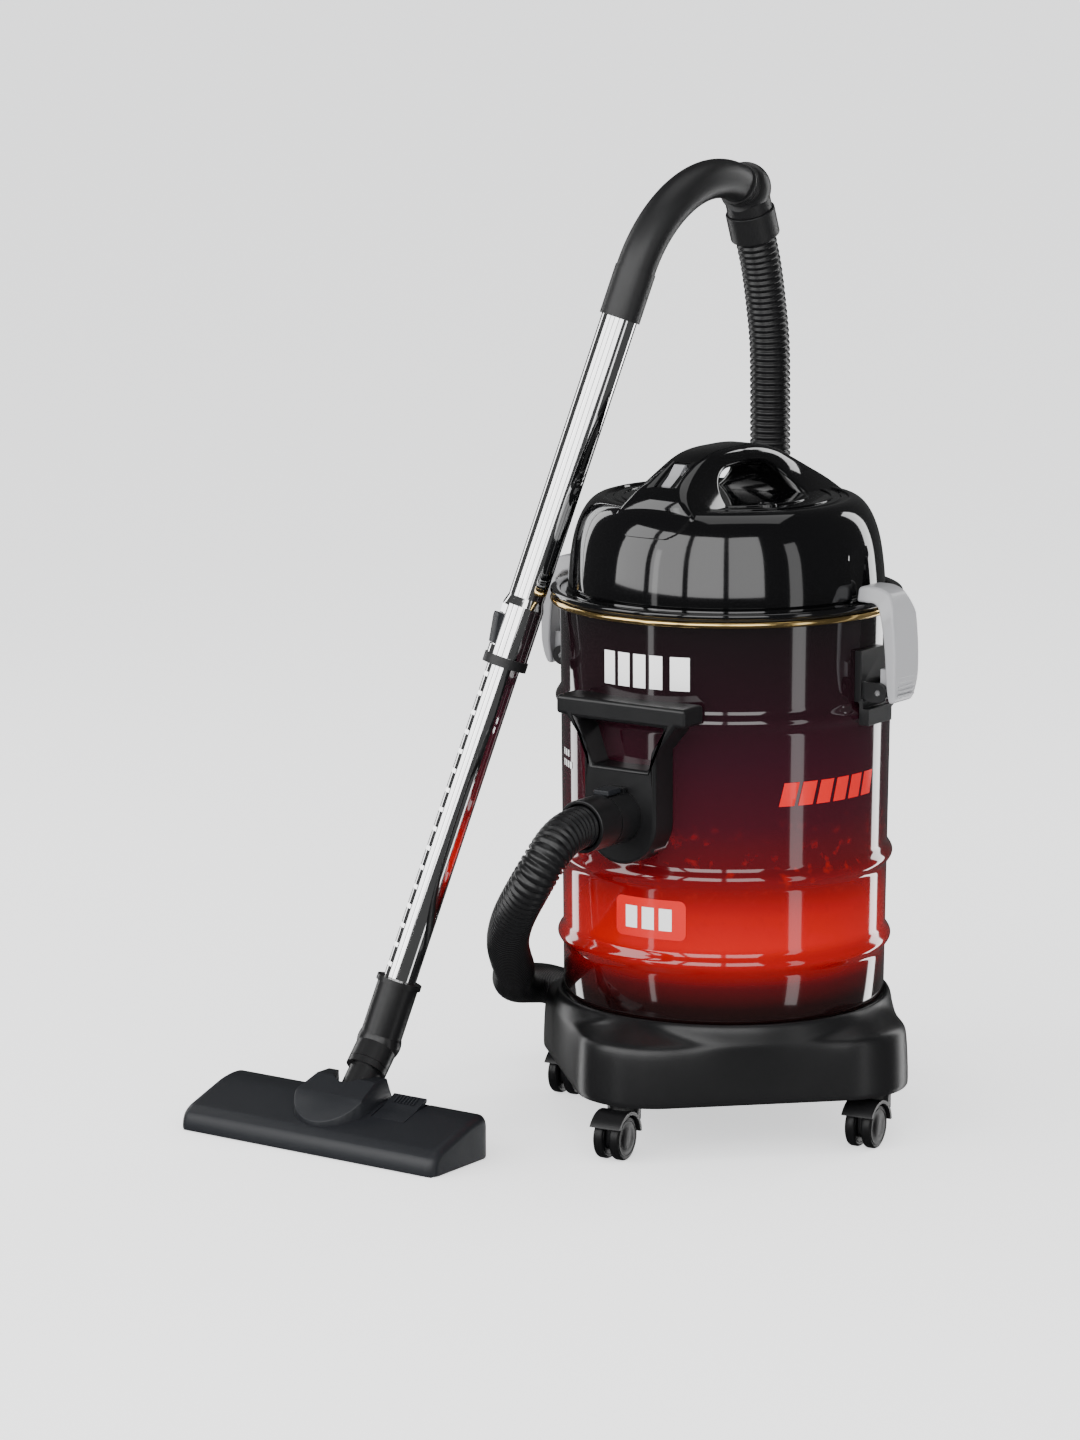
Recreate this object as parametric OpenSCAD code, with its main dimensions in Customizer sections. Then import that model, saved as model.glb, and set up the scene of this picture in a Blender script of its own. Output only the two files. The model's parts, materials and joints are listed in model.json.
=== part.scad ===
// Drum vacuum cleaner with hose, telescopic wand and floor nozzle.
// Origin on the floor under the drum's axis, +Z up, hose inlet towards -Y, latches at +X and -X.

/* [Drum] */
// Outer radius of the drum wall at its rim
drum_top_r = 150; // [125:1:190]
// Outer radius of the drum wall at its floor
drum_low_r = 146; // [120:1:185]
// Height of the drum's floor above the ground
drum_z0 = 117; // [117:1:150]
// Height of the drum's rim above the ground
drum_z1 = 485; // [430:1:600]
// Thickness of the drum's sheet metal
drum_wall = 1.5; // [1:0.1:2.5]
// Height of each rolled bead
bead_h = 20; // [12:1:24]
// How far each bead stands proud of the wall
bead_proud = 5; // [2:0.5:6]
// How far the rolled rim band stands out past the wall
band_out = 9; // [8:0.5:12]

/* [Base] */
// Radius of the base's four round corners
corner_r = 70; // [60:1:84]
// How far the corners reach past the drum wall
corner_reach = 40; // [38:1:60]
// Height of the base's lower edge above the ground
base_z0 = 49; // [49:1:60]
// Wall thickness of the moulded base
base_wall = 3; // [2:0.5:4]

/* [Casters] */
// Diameter of the twin wheels
wheel_d = 40; // [34:1:40]
// Width of each wheel
wheel_w = 10; // [8:0.5:12]
// Horizontal distance from the swivel stem to the axle
caster_trail = 18; // [14:1:20]
// Radius of the swivel stem
stem_r = 5.5; // [4:0.5:6]
// Direction in which the casters trail
caster_yaw = -83; // [-180:1:180]

/* [Head] */
// Height of the dome from the flange to the deck
dome_h = 83; // [75:1:110]
// Thickness of the dome's wall
dome_wall = 5; // [4:0.5:6]
// Height of the carrying handle above the deck
handle_h = 46; // [42:1:60]
// Width of the carrying handle
handle_w = 42; // [34:1:50]

/* [Latches] */
// Width of the latch lever's grip
latch_w = 42; // [36:1:50]
// Radius of the latch pin
latch_pin_r = 2.5; // [2:0.5:3]

/* [Inlet] */
// Height of the inlet's axis above the ground
inlet_z = 310; // [295:1:320]
// Length of the inlet bracket's top bar
bar_l = 136; // [110:1:150]
// Width of the inlet bracket's round-bottomed body
inlet_body_w = 76; // [70:1:86]
// Outer diameter of the hose connector and of its cuff
cuff_d = 47; // [46:1:52]

/* [Hose] */
// Outer diameter of the corrugated hose
hose_d = 38; // [34:1:38]

/* [Wand] */
// Outer diameter of the upper tube
upper_d = 33; // [32:0.5:36]
// Outer diameter of the lower tube
lower_d = 30; // [26:0.5:30]
// Wall thickness of both tubes
tube_wall = 0.7; // [0.6:0.1:1]
// Length of the lower tube that shows above the neck
lower_shown = 309; // [260:1:360]
// Length of the upper tube up to the grip
upper_l = 337; // [280:1:400]
// How far the lower tube reaches up inside the upper one
tube_lap = 150; // [120:1:160]
// Lean of the wand from the vertical
wand_tilt = 19.2; // [15:0.1:22]
// Compass direction in which the wand leans
wand_turn = 51.7; // [45:0.1:58]
// Radius of the bent grip's centre line
grip_bend_r = 105; // [90:1:120]
// Angle through which the grip bends
grip_bend = 95; // [80:1:100]

/* [Nozzle] */
// Length of the floor nozzle
nozzle_l = 285; // [240:1:345]
// Depth of the floor nozzle from its front edge to the pivot
nozzle_front = 70; // [60:1:85]
// Depth of the floor nozzle behind the pivot
nozzle_back = 18; // [16:1:24]
// Height of the floor nozzle at its rear
nozzle_h = 40; // [38:1:48]
// Height of the nozzle's front wall
nozzle_front_h = 20; // [16:1:24]
// Height of the nozzle's pivot above the ground
pivot_z = 32; // [30:1:34]
// Distance from the pivot to the neck's elbow
neck_l = 65; // [56:1:75]
// Length of the neck's tube socket
socket_l = 60; // [52:1:80]

/* [Hidden] */
$fn = 96;

black = [0.04, 0.04, 0.05];
satin = [0.12, 0.12, 0.13];
steel = [0.75, 0.76, 0.78];
gold = [0.72, 0.55, 0.25];
lacquer = [0.35, 0.03, 0.04];
pewter = [0.66, 0.66, 0.67];
slate = [0.17, 0.19, 0.23];

fit = 0.05;   // running clearance on a radius
gap = 0.3;    // clearance between pieces that must not touch
cut = 1;      // how far a cutter runs past the face it opens

// Drum
bead_z = [drum_z0 + 58, drum_z0 + 135, drum_z1 - 92];
function wall_r(z) = drum_low_r + (drum_top_r - drum_low_r) * (z - drum_z0) / (drum_z1 - drum_z0);
function bead_arc(z, inset) = [for (a = [-90:18:90]) let (high = z + bead_h / 2 * sin(a))
    [wall_r(high) + bead_proud * cos(a) - inset, high]];
function drum_line(inset, floor_z) = concat(
    [[drum_low_r - 6 - inset, floor_z], [wall_r(drum_z0 + 6) - inset, drum_z0 + 6]],
    bead_arc(bead_z[0], inset), bead_arc(bead_z[1], inset), bead_arc(bead_z[2], inset),
    [[drum_top_r - inset, drum_z1]]);
function reversed(list) = [for (i = [len(list) - 1:-1:0]) list[i]];

// Head
gasket_h = 1.5;
flange_z0 = drum_z1 + gasket_h;
flange_h = 5.5;
flange_z1 = flange_z0 + flange_h;
flange_r = drum_top_r + band_out;
deck_z = flange_z1 + dome_h;
dome_line = [
    [drum_top_r - 7, flange_z1], [drum_top_r - 8, flange_z1 + 16], [drum_top_r - 11, flange_z1 + 38],
    [drum_top_r - 13, deck_z - 33], [drum_top_r - 17, deck_z - 22], [drum_top_r - 21, deck_z - 11],
    [drum_top_r - 26, deck_z - 4], [drum_top_r - 32, deck_z]];
motor_hole_r = 50;
handle_top = deck_z + handle_h;
bar_under = handle_top - 18;
foot_front = 118;
foot_rear = 116;
switch_place = [0, -88, handle_top - 19];
switch_slope = 29.5;
grille_z0 = flange_z1 + 14;
grille_h = 24;
grille_half_angle = 32;
gland_z = flange_z1 + 27;
gland_r = 9;
gland_turn = 140;

// Base
corner_at = drum_low_r + corner_reach - corner_r;
base_deck_z = drum_z0;
base_deck_h = 4;
ridge_z = drum_z0 - 11;
lip_z = drum_z0 + 5;
caster_at = corner_at + 46;
boss_r = 12;
boss_top = base_z0 + 38;
base_screw_at = drum_low_r - 46;
screw_r = 2;

// Casters
hub_z = wheel_d / 2;
hood_in = wheel_d / 2 + 1;
hood_out = hood_in + 3;
web_w = 5;
caster_plate_top = base_z0 - 0.5;
axle_r = 3;

// Latches
latch_pin_x = drum_top_r + 20;
latch_pin_z = drum_z1 - 71;
lever_x = flange_r + 4;
latch_hook_z = flange_z1 + 1;

// Inlet
bracket_y = drum_top_r + 22;
port_r = 22;
port_bore = 20.3;
spigot_r = 20;
connector_l = 34;
cuff_l = 26;
bar_z = drum_z1 - 82;
bar_h = 17;

// Hose: its centre line, from the lower cuff to the elbow on the grip
hose_route = [
    [0, -222, 310], [0, -246, 309], [2, -268, 304], [1, -286, 291], [-12, -291, 267],
    [-38, -276, 237], [-66, -246, 211], [-92, -211, 188], [-116, -173, 166], [-140, -134, 145],
    [-171, -92, 123], [-196, -48, 107], [-213, -2, 95], [-228, 40, 84], [-237, 80, 71],
    [-236, 120, 56], [-224, 160, 40], [-200, 194, 27], [-166, 219, 20], [-130, 233, 24],
    [-98, 238, 39], [-72, 236, 64], [-54, 229, 97], [-45, 220, 138], [-43, 211, 190],
    [-47, 202, 265], [-54, 195, 345], [-61, 189, 425], [-67, 185, 505], [-70, 183, 580],
    [-69, 180, 640], [-67, 175, 690], [-66, 167, 727], [-65, 157, 762], [-65, 148, 787], [-65, 139, 811]];
hose_ring_gap = 60;

// Wand: its own frame has the tube socket's mouth at 0 and +Z up the tube
wand_axis = [sin(wand_tilt) * cos(wand_turn), sin(wand_tilt) * sin(wand_turn), cos(wand_tilt)];
wand_side = [-sin(wand_turn), cos(wand_turn), 0];
wand_over = cross(wand_side, wand_axis);
neck_tilt = 43;
neck_axis = [0, sin(neck_tilt), cos(neck_tilt)];
rest_angle = 215;
rest_r = flange_r + upper_d / 2 + 1;
foot_z = pivot_z + neck_l * cos(neck_tilt) + socket_l * cos(wand_tilt);
rest_s = (flange_z1 - foot_z) / cos(wand_tilt);
wand_foot = [rest_r * cos(rest_angle), rest_r * sin(rest_angle), flange_z1] - rest_s * wand_axis;
neck_elbow = wand_foot - socket_l * wand_axis;
pivot = neck_elbow - neck_l * neck_axis;
grip_s = lower_shown + upper_l;
grip_straight = 30;
grip_turn = 38;
grip_d = upper_d + 3;
bend_dir = cos(grip_turn) * wand_over + sin(grip_turn) * wand_side;
grip_end = wand_foot + (grip_s + grip_straight) * wand_axis
    + grip_bend_r * (sin(grip_bend) * wand_axis + (1 - cos(grip_bend)) * bend_dir);
grip_tangent = cos(grip_bend) * wand_axis + sin(grip_bend) * bend_dir;
knuckle_r = 24;
knuckle = grip_end + 16 * grip_tangent;
hose_hang = 22;
key_angle = 185;
upper_bore_r = upper_d / 2 - tube_wall;
swage_r = upper_d / 2 + 2.5;
swage_l = 56;
collar_l = 9;
notch_pitch = 18.5;
notch_count = 16;
socket_grip = 46;

// Nozzle
sole_h = 3;
barrel_r = 13;
barrel_l = 44;
roller_r = 8;
roller_x = nozzle_l / 2 - 42;
pedal_x = nozzle_l / 2 - 80;
pedal_w = 36;
pedal_y = -10;
pedal_z = nozzle_h - 9;
pedal_front = 18;
pedal_rear = 18;
pedal_lift = 9;
hood_w = 79;
hood_rear = 12;
hood_tip = 56;
hood_h = nozzle_h + 17;
hood_skin = 3;
roof_slope = atan2(nozzle_h - nozzle_front_h - 2, nozzle_front - 14);

module ring(r_out, r_in, h) {
    difference() {
        cylinder(r = r_out, h = h);
        translate([0, 0, -cut]) cylinder(r = r_in, h = h + 2 * cut);
    }
}

// Turns +Z towards -Y, so that a height runs out of the front of the drum
module along_front(y, z) {
    translate([0, -y, z]) rotate([90, 0, 0]) children();
}

// Extrudes an outline of (y, z) points along X, centred
module side_slab(w) {
    rotate([90, 0, 90]) linear_extrude(height = w, center = true) children();
}

module side_slab_at(x, w) {
    translate([x, 0, 0]) side_slab(w) children();
}

module drum_solid() {
    translate([0, 0, drum_z0]) cylinder(r1 = drum_low_r, r2 = drum_top_r, h = drum_z1 - drum_z0);
}

module bead_room() {
    for (z = bead_z) translate([0, 0, z - bead_h / 2 - gap])
        cylinder(r = wall_r(z) + bead_proud + gap, h = bead_h + 2 * gap);
}

// Rounded square with its corners on the X and Y axes
module rounded_square(r, h) {
    tangent = corner_at + r * cos(45);
    side = r * sin(45);
    for (a = [0:90:270]) rotate(a) translate([corner_at, 0, 0]) cylinder(r = r, h = h);
    linear_extrude(height = h) polygon([
        [tangent, side], [side, tangent], [-side, tangent], [-tangent, side],
        [-tangent, -side], [-side, -tangent], [side, -tangent], [tangent, -side]]);
}

module base_plinth() {
    color(satin) difference() {
        union() {
            translate([0, 0, base_z0]) rounded_square(corner_r, ridge_z - 5 - base_z0);
            translate([0, 0, ridge_z - 5]) rounded_square(corner_r - 3, 5);
            translate([0, 0, ridge_z])
                cylinder(r1 = drum_low_r + 14, r2 = drum_low_r + 4, h = lip_z - ridge_z);
        }
        difference() {
            translate([0, 0, base_z0 - cut])
                rounded_square(corner_r - base_wall, ridge_z - 5 - base_wall - base_z0 + cut);
            for (a = [0:90:270]) rotate(a) translate([caster_at, 0, base_z0])
                cylinder(r = boss_r, h = boss_top);
        }
        translate([0, 0, base_z0]) cylinder(r = drum_low_r - 6, h = base_deck_z - base_deck_h - base_z0);
        translate([0, 0, base_deck_z]) cylinder(r = drum_low_r + 0.2, h = lip_z);
        for (a = [0:90:270]) rotate(a) {
            translate([caster_at, 0, base_z0 - cut]) cylinder(r = stem_r + fit, h = 32 + cut);
            rotate(45) translate([base_screw_at, 0, 0]) cylinder(r = screw_r + fit, h = drum_z1 / 2);
        }
    }
}

module base_screws() {
    color(steel) for (a = [45:90:315]) rotate(a) translate([base_screw_at, 0, 0]) {
        translate([0, 0, base_deck_z - base_deck_h - 3]) cylinder(r = 4.5, h = 3);
        translate([0, 0, base_deck_z - base_deck_h - 3]) cylinder(r = screw_r, h = 14);
        translate([0, 0, base_deck_z + drum_wall]) cylinder(r = 3.8, h = 3.5);
    }
}

module drum() {
    color(lacquer) difference() {
        rotate_extrude() polygon(concat(
            [[0, drum_z0]], drum_line(0, drum_z0),
            reversed(drum_line(drum_wall, drum_z0 + drum_wall)), [[0, drum_z0 + drum_wall]]));
        along_front(drum_low_r - 30, inlet_z) cylinder(r = port_r + 0.2, h = 60);
        for (x = [-30, 30], z = [inlet_z - 30, inlet_z + 32])
            translate([x, 0, 0]) along_front(drum_low_r - 20, z) cylinder(r = 1.9, h = 40);
        for (a = [45:90:315]) rotate(a) translate([base_screw_at, 0, drum_z0 - cut])
            cylinder(r = screw_r + fit, h = drum_wall + 2 * cut);
    }
}

module rim_band() {
    color(gold) rotate_extrude() union() {
        translate([drum_top_r, drum_z1 - 6]) square([band_out - 3, 6]);
        translate([flange_r - 3, drum_z1 - 3]) circle(r = 3);
    }
}

// Outline of the inlet bracket seen from the front, as (x, z)
module bracket_outline() {
    body_top = inlet_z + 44;
    half = inlet_body_w / 2;
    bar_low = bar_z - bar_h / 2;
    difference() {
        polygon(concat(
            [[-bar_l / 2, bar_low], [-bar_l / 2, bar_z + bar_h / 2], [bar_l / 2, bar_z + bar_h / 2]],
            [[bar_l / 2, bar_low], [bar_l / 2 - 10, bar_low], [half, body_top - 6]],
            [for (a = [0:-9:-180]) [half * cos(a), inlet_z - 6 + half * sin(a)]],
            [[-half, body_top - 6], [-bar_l / 2 + 10, bar_low]]));
        polygon([
            [-bar_l / 2 + 22, bar_low - 2], [bar_l / 2 - 22, bar_low - 2],
            [half - 9, body_top - 1], [-half + 9, body_top - 1]]);
    }
}

module inlet_bracket() {
    color(satin) difference() {
        along_front(drum_low_r - 40, 0) linear_extrude(height = bracket_y - drum_low_r + 40)
            bracket_outline();
        drum_solid();
        bead_room();
        along_front(0, inlet_z) cylinder(r = port_r + fit, h = bracket_y + cut);
        along_front(0, inlet_z) cylinder(r = port_r + 7, h = drum_top_r + 4);
        for (x = [-30, 30], z = [inlet_z - 30, inlet_z + 32])
            translate([x, 0, 0]) along_front(0, z) cylinder(r = 1.9, h = drum_top_r + 16);
    }
}

module inlet_gasket() {
    color(black) difference() {
        along_front(drum_low_r - 20, inlet_z) cylinder(r = port_r + 6.8, h = drum_top_r + 24 - drum_low_r);
        along_front(0, inlet_z) cylinder(r = port_r + fit, h = bracket_y);
        drum_solid();
    }
}

module inlet_port() {
    color(satin) difference() {
        union() {
            along_front(drum_low_r - 34, inlet_z) cylinder(r = port_r, h = bracket_y - drum_low_r + 34);
            along_front(drum_low_r - 38, inlet_z) cylinder(r = port_r + 4, h = 28);
        }
        along_front(drum_low_r - 30, inlet_z) cylinder(r = port_bore, h = 80);
        translate([0, -drum_low_r + 24, inlet_z - 32]) cylinder(r = 14, h = 26);
    }
}

module inlet_screws() {
    color(steel) for (x = [-30, 30], z = [inlet_z - 30, inlet_z + 32]) translate([x, 0, 0]) {
        along_front(wall_r(z) - 9.4, z) cylinder(r = 4.5, h = 3);
        along_front(wall_r(z) - 7, z) cylinder(r = 1.8, h = 22);
    }
}

module latch_bracket() {
    difference() {
        union() {
            translate([drum_low_r - 6, -20, latch_pin_z - 9.5]) cube([drum_top_r + 11 - drum_low_r, 40, 46]);
            for (y = [-17, 13]) {
                translate([drum_low_r - 6, y, latch_pin_z - 8.5]) cube([latch_pin_x + 6 - drum_low_r, 4, 17]);
                translate([latch_pin_x, y + 4, latch_pin_z]) rotate([90, 0, 0]) cylinder(r = 9, h = 4);
            }
            translate([drum_low_r - 6, -20, latch_pin_z - 30]) cube([drum_top_r + 19 - drum_low_r, 40, 15]);
            translate([drum_top_r + 2, -20, latch_pin_z - 16]) cube([5, 40, 10]);
        }
        drum_solid();
        bead_room();
        translate([latch_pin_x, 0, latch_pin_z]) rotate([90, 0, 0])
            cylinder(r = latch_pin_r, h = 50, center = true);
    }
}

module latch_bracket_right() { color(satin) latch_bracket(); }
module latch_bracket_left() { color(satin) mirror([1, 0, 0]) latch_bracket(); }

module latch_pins() {
    color(steel) for (x = [-latch_pin_x, latch_pin_x]) translate([x, 0, latch_pin_z]) rotate([90, 0, 0])
        cylinder(r = latch_pin_r, h = 34, center = true);
}

module latch_lever() {
    grip_x = latch_pin_x + 10;
    difference() {
        union() {
            translate([latch_pin_x, 0, latch_pin_z]) rotate([90, 0, 0])
                cylinder(r = 6.5, h = 24, center = true);
            translate([lever_x, -12, latch_pin_z + 3]) cube([grip_x + cut - lever_x, 24, 32]);
            translate([latch_pin_x - 2, -12, latch_pin_z - 6]) cube([13, 24, 12]);
            rotate([90, 0, 0]) linear_extrude(height = latch_w, center = true) polygon([
                [grip_x, latch_pin_z - 9], [grip_x + 7, latch_pin_z - 9], [grip_x + 10, latch_pin_z + 6],
                [grip_x + 8, latch_pin_z + 34], [grip_x, latch_pin_z + 38]]);
            rotate([90, 0, 0]) linear_extrude(height = latch_w - 14, center = true) polygon([
                [lever_x, latch_pin_z + 30], [grip_x + 8, latch_pin_z + 30], [grip_x + 4, latch_hook_z + 10],
                [lever_x + 8, latch_hook_z + 15], [drum_top_r - 3, latch_hook_z + 12],
                [drum_top_r - 3, latch_hook_z], [lever_x, latch_hook_z]]);
            for (i = [0:4]) translate([grip_x + 8.6, 0, latch_pin_z - 4 + 4 * i]) rotate([90, 0, 0])
                cylinder(r = 1.4, h = latch_w - 8, center = true);
        }
        translate([latch_pin_x, 0, latch_pin_z]) rotate([90, 0, 0])
            cylinder(r = latch_pin_r + fit, h = 60, center = true);
    }
}

module latch_lever_right() { color(pewter) latch_lever(); }
module latch_lever_left() { color(pewter) mirror([1, 0, 0]) latch_lever(); }

module head_flange() {
    color(black) difference() {
        union() {
            rotate_extrude() union() {
                translate([motor_hole_r, flange_z0]) square([flange_r - 2.7 - motor_hole_r, flange_h]);
                translate([flange_r - 2.75, flange_z0 + 2.75]) circle(r = 2.75);
                translate([flange_r - 4, flange_z0 + 2.75]) square([1.3, flange_h - 2.75]);
            }
            translate([0, 0, flange_z0 - 14])
                ring(drum_top_r - drum_wall - 2, drum_top_r - drum_wall - 6, 15);
        }
    }
}

module head_gasket() {
    color(black) translate([0, 0, drum_z1]) ring(drum_top_r + 4, drum_top_r - 2, gasket_h);
}

module dome_solid(inset) {
    rotate_extrude() polygon(concat(
        [[0, flange_z1]], [for (p = dome_line) [p[0] - inset, p[1] - (p[1] > flange_z1 ? inset * 0.3 : 0)]],
        [[0, deck_z - inset]]));
}

module grille_room(extra) {
    translate([0, 0, grille_z0 - extra]) rotate(90 - grille_half_angle - extra / 2)
        rotate_extrude(angle = 2 * grille_half_angle + extra)
            translate([drum_top_r - 30, 0]) square([40, grille_h + 2 * extra]);
}

module head_cover() {
    color(black) difference() {
        rotate_extrude() polygon(concat(
            dome_line, [[0, deck_z], [0, deck_z - dome_wall]],
            reversed([for (p = dome_line) [p[0] - dome_wall, min(p[1], deck_z - dome_wall)]])));
        grille_room(gap);
        for (side = [-1, 1]) translate([side * (drum_top_r + 7), 0, flange_z1 + 26])
            cube([38, 30, 60], center = true);
        rotate(gland_turn) translate([drum_top_r - 30, 0, gland_z]) rotate([0, 90, 0])
            cylinder(r = gland_r, h = 40);
        for (x = [-10, 10], y = [-92, 92]) translate([x, y, deck_z - 20]) cylinder(r = screw_r + fit, h = 40);
    }
}

module head_handle() {
    color(black) difference() {
        side_slab(handle_w) polygon([
            [-foot_front, deck_z], [-foot_front + 3, deck_z + 11], [-107, handle_top - 29],
            [-68, handle_top - 7], [-54, handle_top - 2], [-38, handle_top], [24, handle_top],
            [46, handle_top - 4], [66, handle_top - 12], [92, handle_top - 27], [foot_rear - 6, deck_z + 9],
            [foot_rear, deck_z]]);
        side_slab(handle_w + 2 * cut) polygon([
            [-46, deck_z - cut], [-46, deck_z + 8], [-38, bar_under - 3], [-30, bar_under],
            [22, bar_under], [38, bar_under - 4], [52, deck_z + 10], [58, deck_z - cut]]);
        translate(switch_place) rotate([switch_slope, 0, 0]) translate([-8, -19, -11]) cube([16, 38, 30]);
        for (x = [-10, 10], y = [-92, 92]) translate([x, y, deck_z - cut])
            cylinder(r = screw_r + fit, h = 12);
    }
}

module handle_screws() {
    color(steel) for (x = [-10, 10], y = [-92, 92]) translate([x, y, 0]) {
        translate([0, 0, deck_z - dome_wall - 3]) cylinder(r = 4, h = 3);
        translate([0, 0, deck_z - dome_wall - 3]) cylinder(r = screw_r, h = dome_wall + 13);
    }
}

module switch_bezel() {
    color(satin) translate(switch_place) rotate([switch_slope, 0, 0]) difference() {
        translate([-8, -19, -11]) cube([16, 38, 10.5]);
        translate([-6, -17, -9]) cube([12, 34, 20]);
        translate([0, 0, -4]) rotate([0, 90, 0]) cylinder(r = 1.5 + fit, h = 15, center = true);
    }
}

module switch_rocker() {
    color(pewter) translate(switch_place) rotate([switch_slope, 0, 0]) {
        translate([0, 0, -4]) rotate([0, 90, 0]) cylinder(r = 1.5, h = 14, center = true);
        side_slab(11) polygon([[-14, -4], [-13, -2], [0, -1], [13, 2.5], [15.5, 1], [14, -4], [0, -6]]);
    }
}

module exhaust_grille() {
    color(satin) difference() {
        intersection() {
            grille_room(0);
            difference() {
                dome_solid(0);
                translate([0, 0, flange_z1 - cut]) cylinder(r = drum_top_r - 15, h = dome_h);
            }
        }
        for (i = [0:3]) translate([0, 0, grille_z0 + 3 + 5.2 * i]) rotate(90 - grille_half_angle + 4)
            rotate_extrude(angle = 2 * grille_half_angle - 8)
                translate([drum_top_r - 30, 0]) square([40, 2.6]);
    }
}

module cord_gland() {
    color(black) rotate(gland_turn) translate([0, 0, gland_z]) rotate([0, 90, 0]) difference() {
        union() {
            translate([0, 0, drum_top_r - 20]) cylinder(r = gland_r, h = 22);
            translate([0, 0, drum_top_r - 5]) cylinder(r1 = gland_r + 2, r2 = gland_r - 2, h = 14);
        }
        translate([0, 0, drum_top_r - 21]) cylinder(r = 4, h = 40);
    }
}

module fan_housing() {
    color(steel) translate([0, 0, flange_z1]) difference() {
        cylinder(r = 74, h = 24);
        translate([0, 0, 2]) cylinder(r = 70, h = 20);
        translate([0, 0, -cut]) cylinder(r = 26, h = 5);
        translate([0, 0, 20]) cylinder(r = 6, h = 6);
        for (a = [0:45:315]) rotate(a) translate([60, 0, 20]) cylinder(r = 6, h = 6);
    }
}

module motor_seal() {
    color(black) translate([0, 0, flange_z1 + 24]) ring(56, 42, 2);
}

module motor_body() {
    color(satin) translate([0, 0, flange_z1 + 26]) difference() {
        cylinder(r = 52, h = 40);
        translate([0, 0, -cut]) cylinder(r = 40, h = 36 + cut);
        for (a = [0:30:330]) rotate(a) translate([46, 0, 30]) cylinder(r = 3, h = 20);
        translate([0, 0, 30]) cylinder(r = 4 + fit, h = 20);
    }
}

module motor_rotor() {
    color(steel) translate([0, 0, flange_z1]) {
        translate([0, 0, 5]) cylinder(r = 4, h = 65);
        translate([0, 0, 6]) cylinder(r = 64, h = 2);
        for (a = [0:45:315]) rotate(a) translate([18, -1, 7]) cube([44, 2, 9]);
        translate([0, 0, 15]) cylinder(r = 64, h = 1.5);
        translate([0, 0, 30]) cylinder(r = 32, h = 26);
    }
}

module filter_cage() {
    color(satin) translate([0, 0, flange_z0 - 86]) difference() {
        union() {
            cylinder(r = 56, h = 86);
            translate([0, 0, 80]) cylinder(r = 70, h = 6);
        }
        translate([0, 0, 3]) cylinder(r = 52, h = 100);
        for (a = [0:60:300], z = [14, 38]) rotate(a) translate([40, -14, z]) cube([30, 28, 18]);
    }
}

module filter_bag() {
    color([0.85, 0.84, 0.8]) translate([0, 0, flange_z0 - 92]) difference() {
        cylinder(r = 60, h = 85);
        translate([0, 0, 4]) cylinder(r = 56, h = 100);
    }
}

module foam_filter() {
    color([0.2, 0.2, 0.2]) translate([0, 0, flange_z0 - 12]) cylinder(r = 52, h = 12);
}

module at_caster(k) {
    rotate(90 * k) translate([caster_at, 0, 0]) rotate(caster_yaw - 90 * k) children();
}

module caster_wheel_room() {
    for (side = [-1, 1]) translate([caster_trail, side * (web_w / 2 + 10 + wheel_w / 2), hub_z])
        rotate([90, 0, 0]) cylinder(r = hood_in, h = wheel_w + 20, center = true);
}

module caster_fork(k) {
    color(satin) at_caster(k) difference() {
        union() {
            translate([0, 0, caster_plate_top - 1]) cylinder(r = stem_r, h = 32);
            difference() {
                translate([0, 0, hub_z + 13]) cylinder(r = 15, h = caster_plate_top - hub_z - 13);
                caster_wheel_room();
            }
            difference() {
                translate([caster_trail, 0, hub_z]) rotate([90, 0, 0])
                    cylinder(r = hood_out, h = 2 * wheel_w + web_w + 5, center = true);
                caster_wheel_room();
                translate([-30, -40, -10]) cube([120, 80, 10 + hub_z + 2]);
                translate([caster_trail + 8, -40, 0]) cube([60, 80, hub_z + 12]);
            }
            translate([caster_trail, 0, hub_z]) rotate([90, 0, 0]) cylinder(r = 12, h = web_w, center = true);
            translate([caster_trail - 14, -web_w / 2, hub_z]) cube([26, web_w, 16]);
        }
        translate([caster_trail, 0, hub_z]) rotate([90, 0, 0])
            cylinder(r = axle_r + fit, h = 80, center = true);
    }
}

module caster_wheels(k) {
    color(black) at_caster(k) translate([caster_trail, 0, hub_z]) rotate([90, 0, 0]) {
        for (side = [-1, 1]) translate([0, 0, side * (web_w / 2 + 0.4 + wheel_w / 2)])
            rotate_extrude() translate([0, -wheel_w / 2]) polygon([
                [0, 0], [wheel_d / 2 - 2, 0], [wheel_d / 2, 2], [wheel_d / 2, wheel_w - 2],
                [wheel_d / 2 - 2, wheel_w], [0, wheel_w]]);
        cylinder(r = axle_r, h = web_w + 2, center = true);
    }
}

// A tube swept along the route: rings stand square to the line, and both ends are closed
function unit(v) = v / norm(v);
function bend_at(p, i, t) = let (a = p[max(i - 1, 0)], b = p[i], c = p[i + 1], d = p[min(i + 2, len(p) - 1)])
    0.5 * (2 * b + (c - a) * t + (2 * a - 5 * b + 4 * c - d) * t * t + (3 * b - a - 3 * c + d) * t * t * t);
function smooth_line(p, step) = [for (i = [0:len(p) - 2])
    let (n = max(1, round(norm(p[i + 1] - p[i]) / step))) for (k = [0:n - 1]) bend_at(p, i, k / n)];
function line_dir(p, i) = unit(p[min(i + 1, len(p) - 1)] - p[max(i - 1, 0)]);
function carried(p, i, side) = i == len(p) ? [] :
    let (d = line_dir(p, i), s = unit(side - (side * d) * d)) concat([s], carried(p, i + 1, s));

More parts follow.
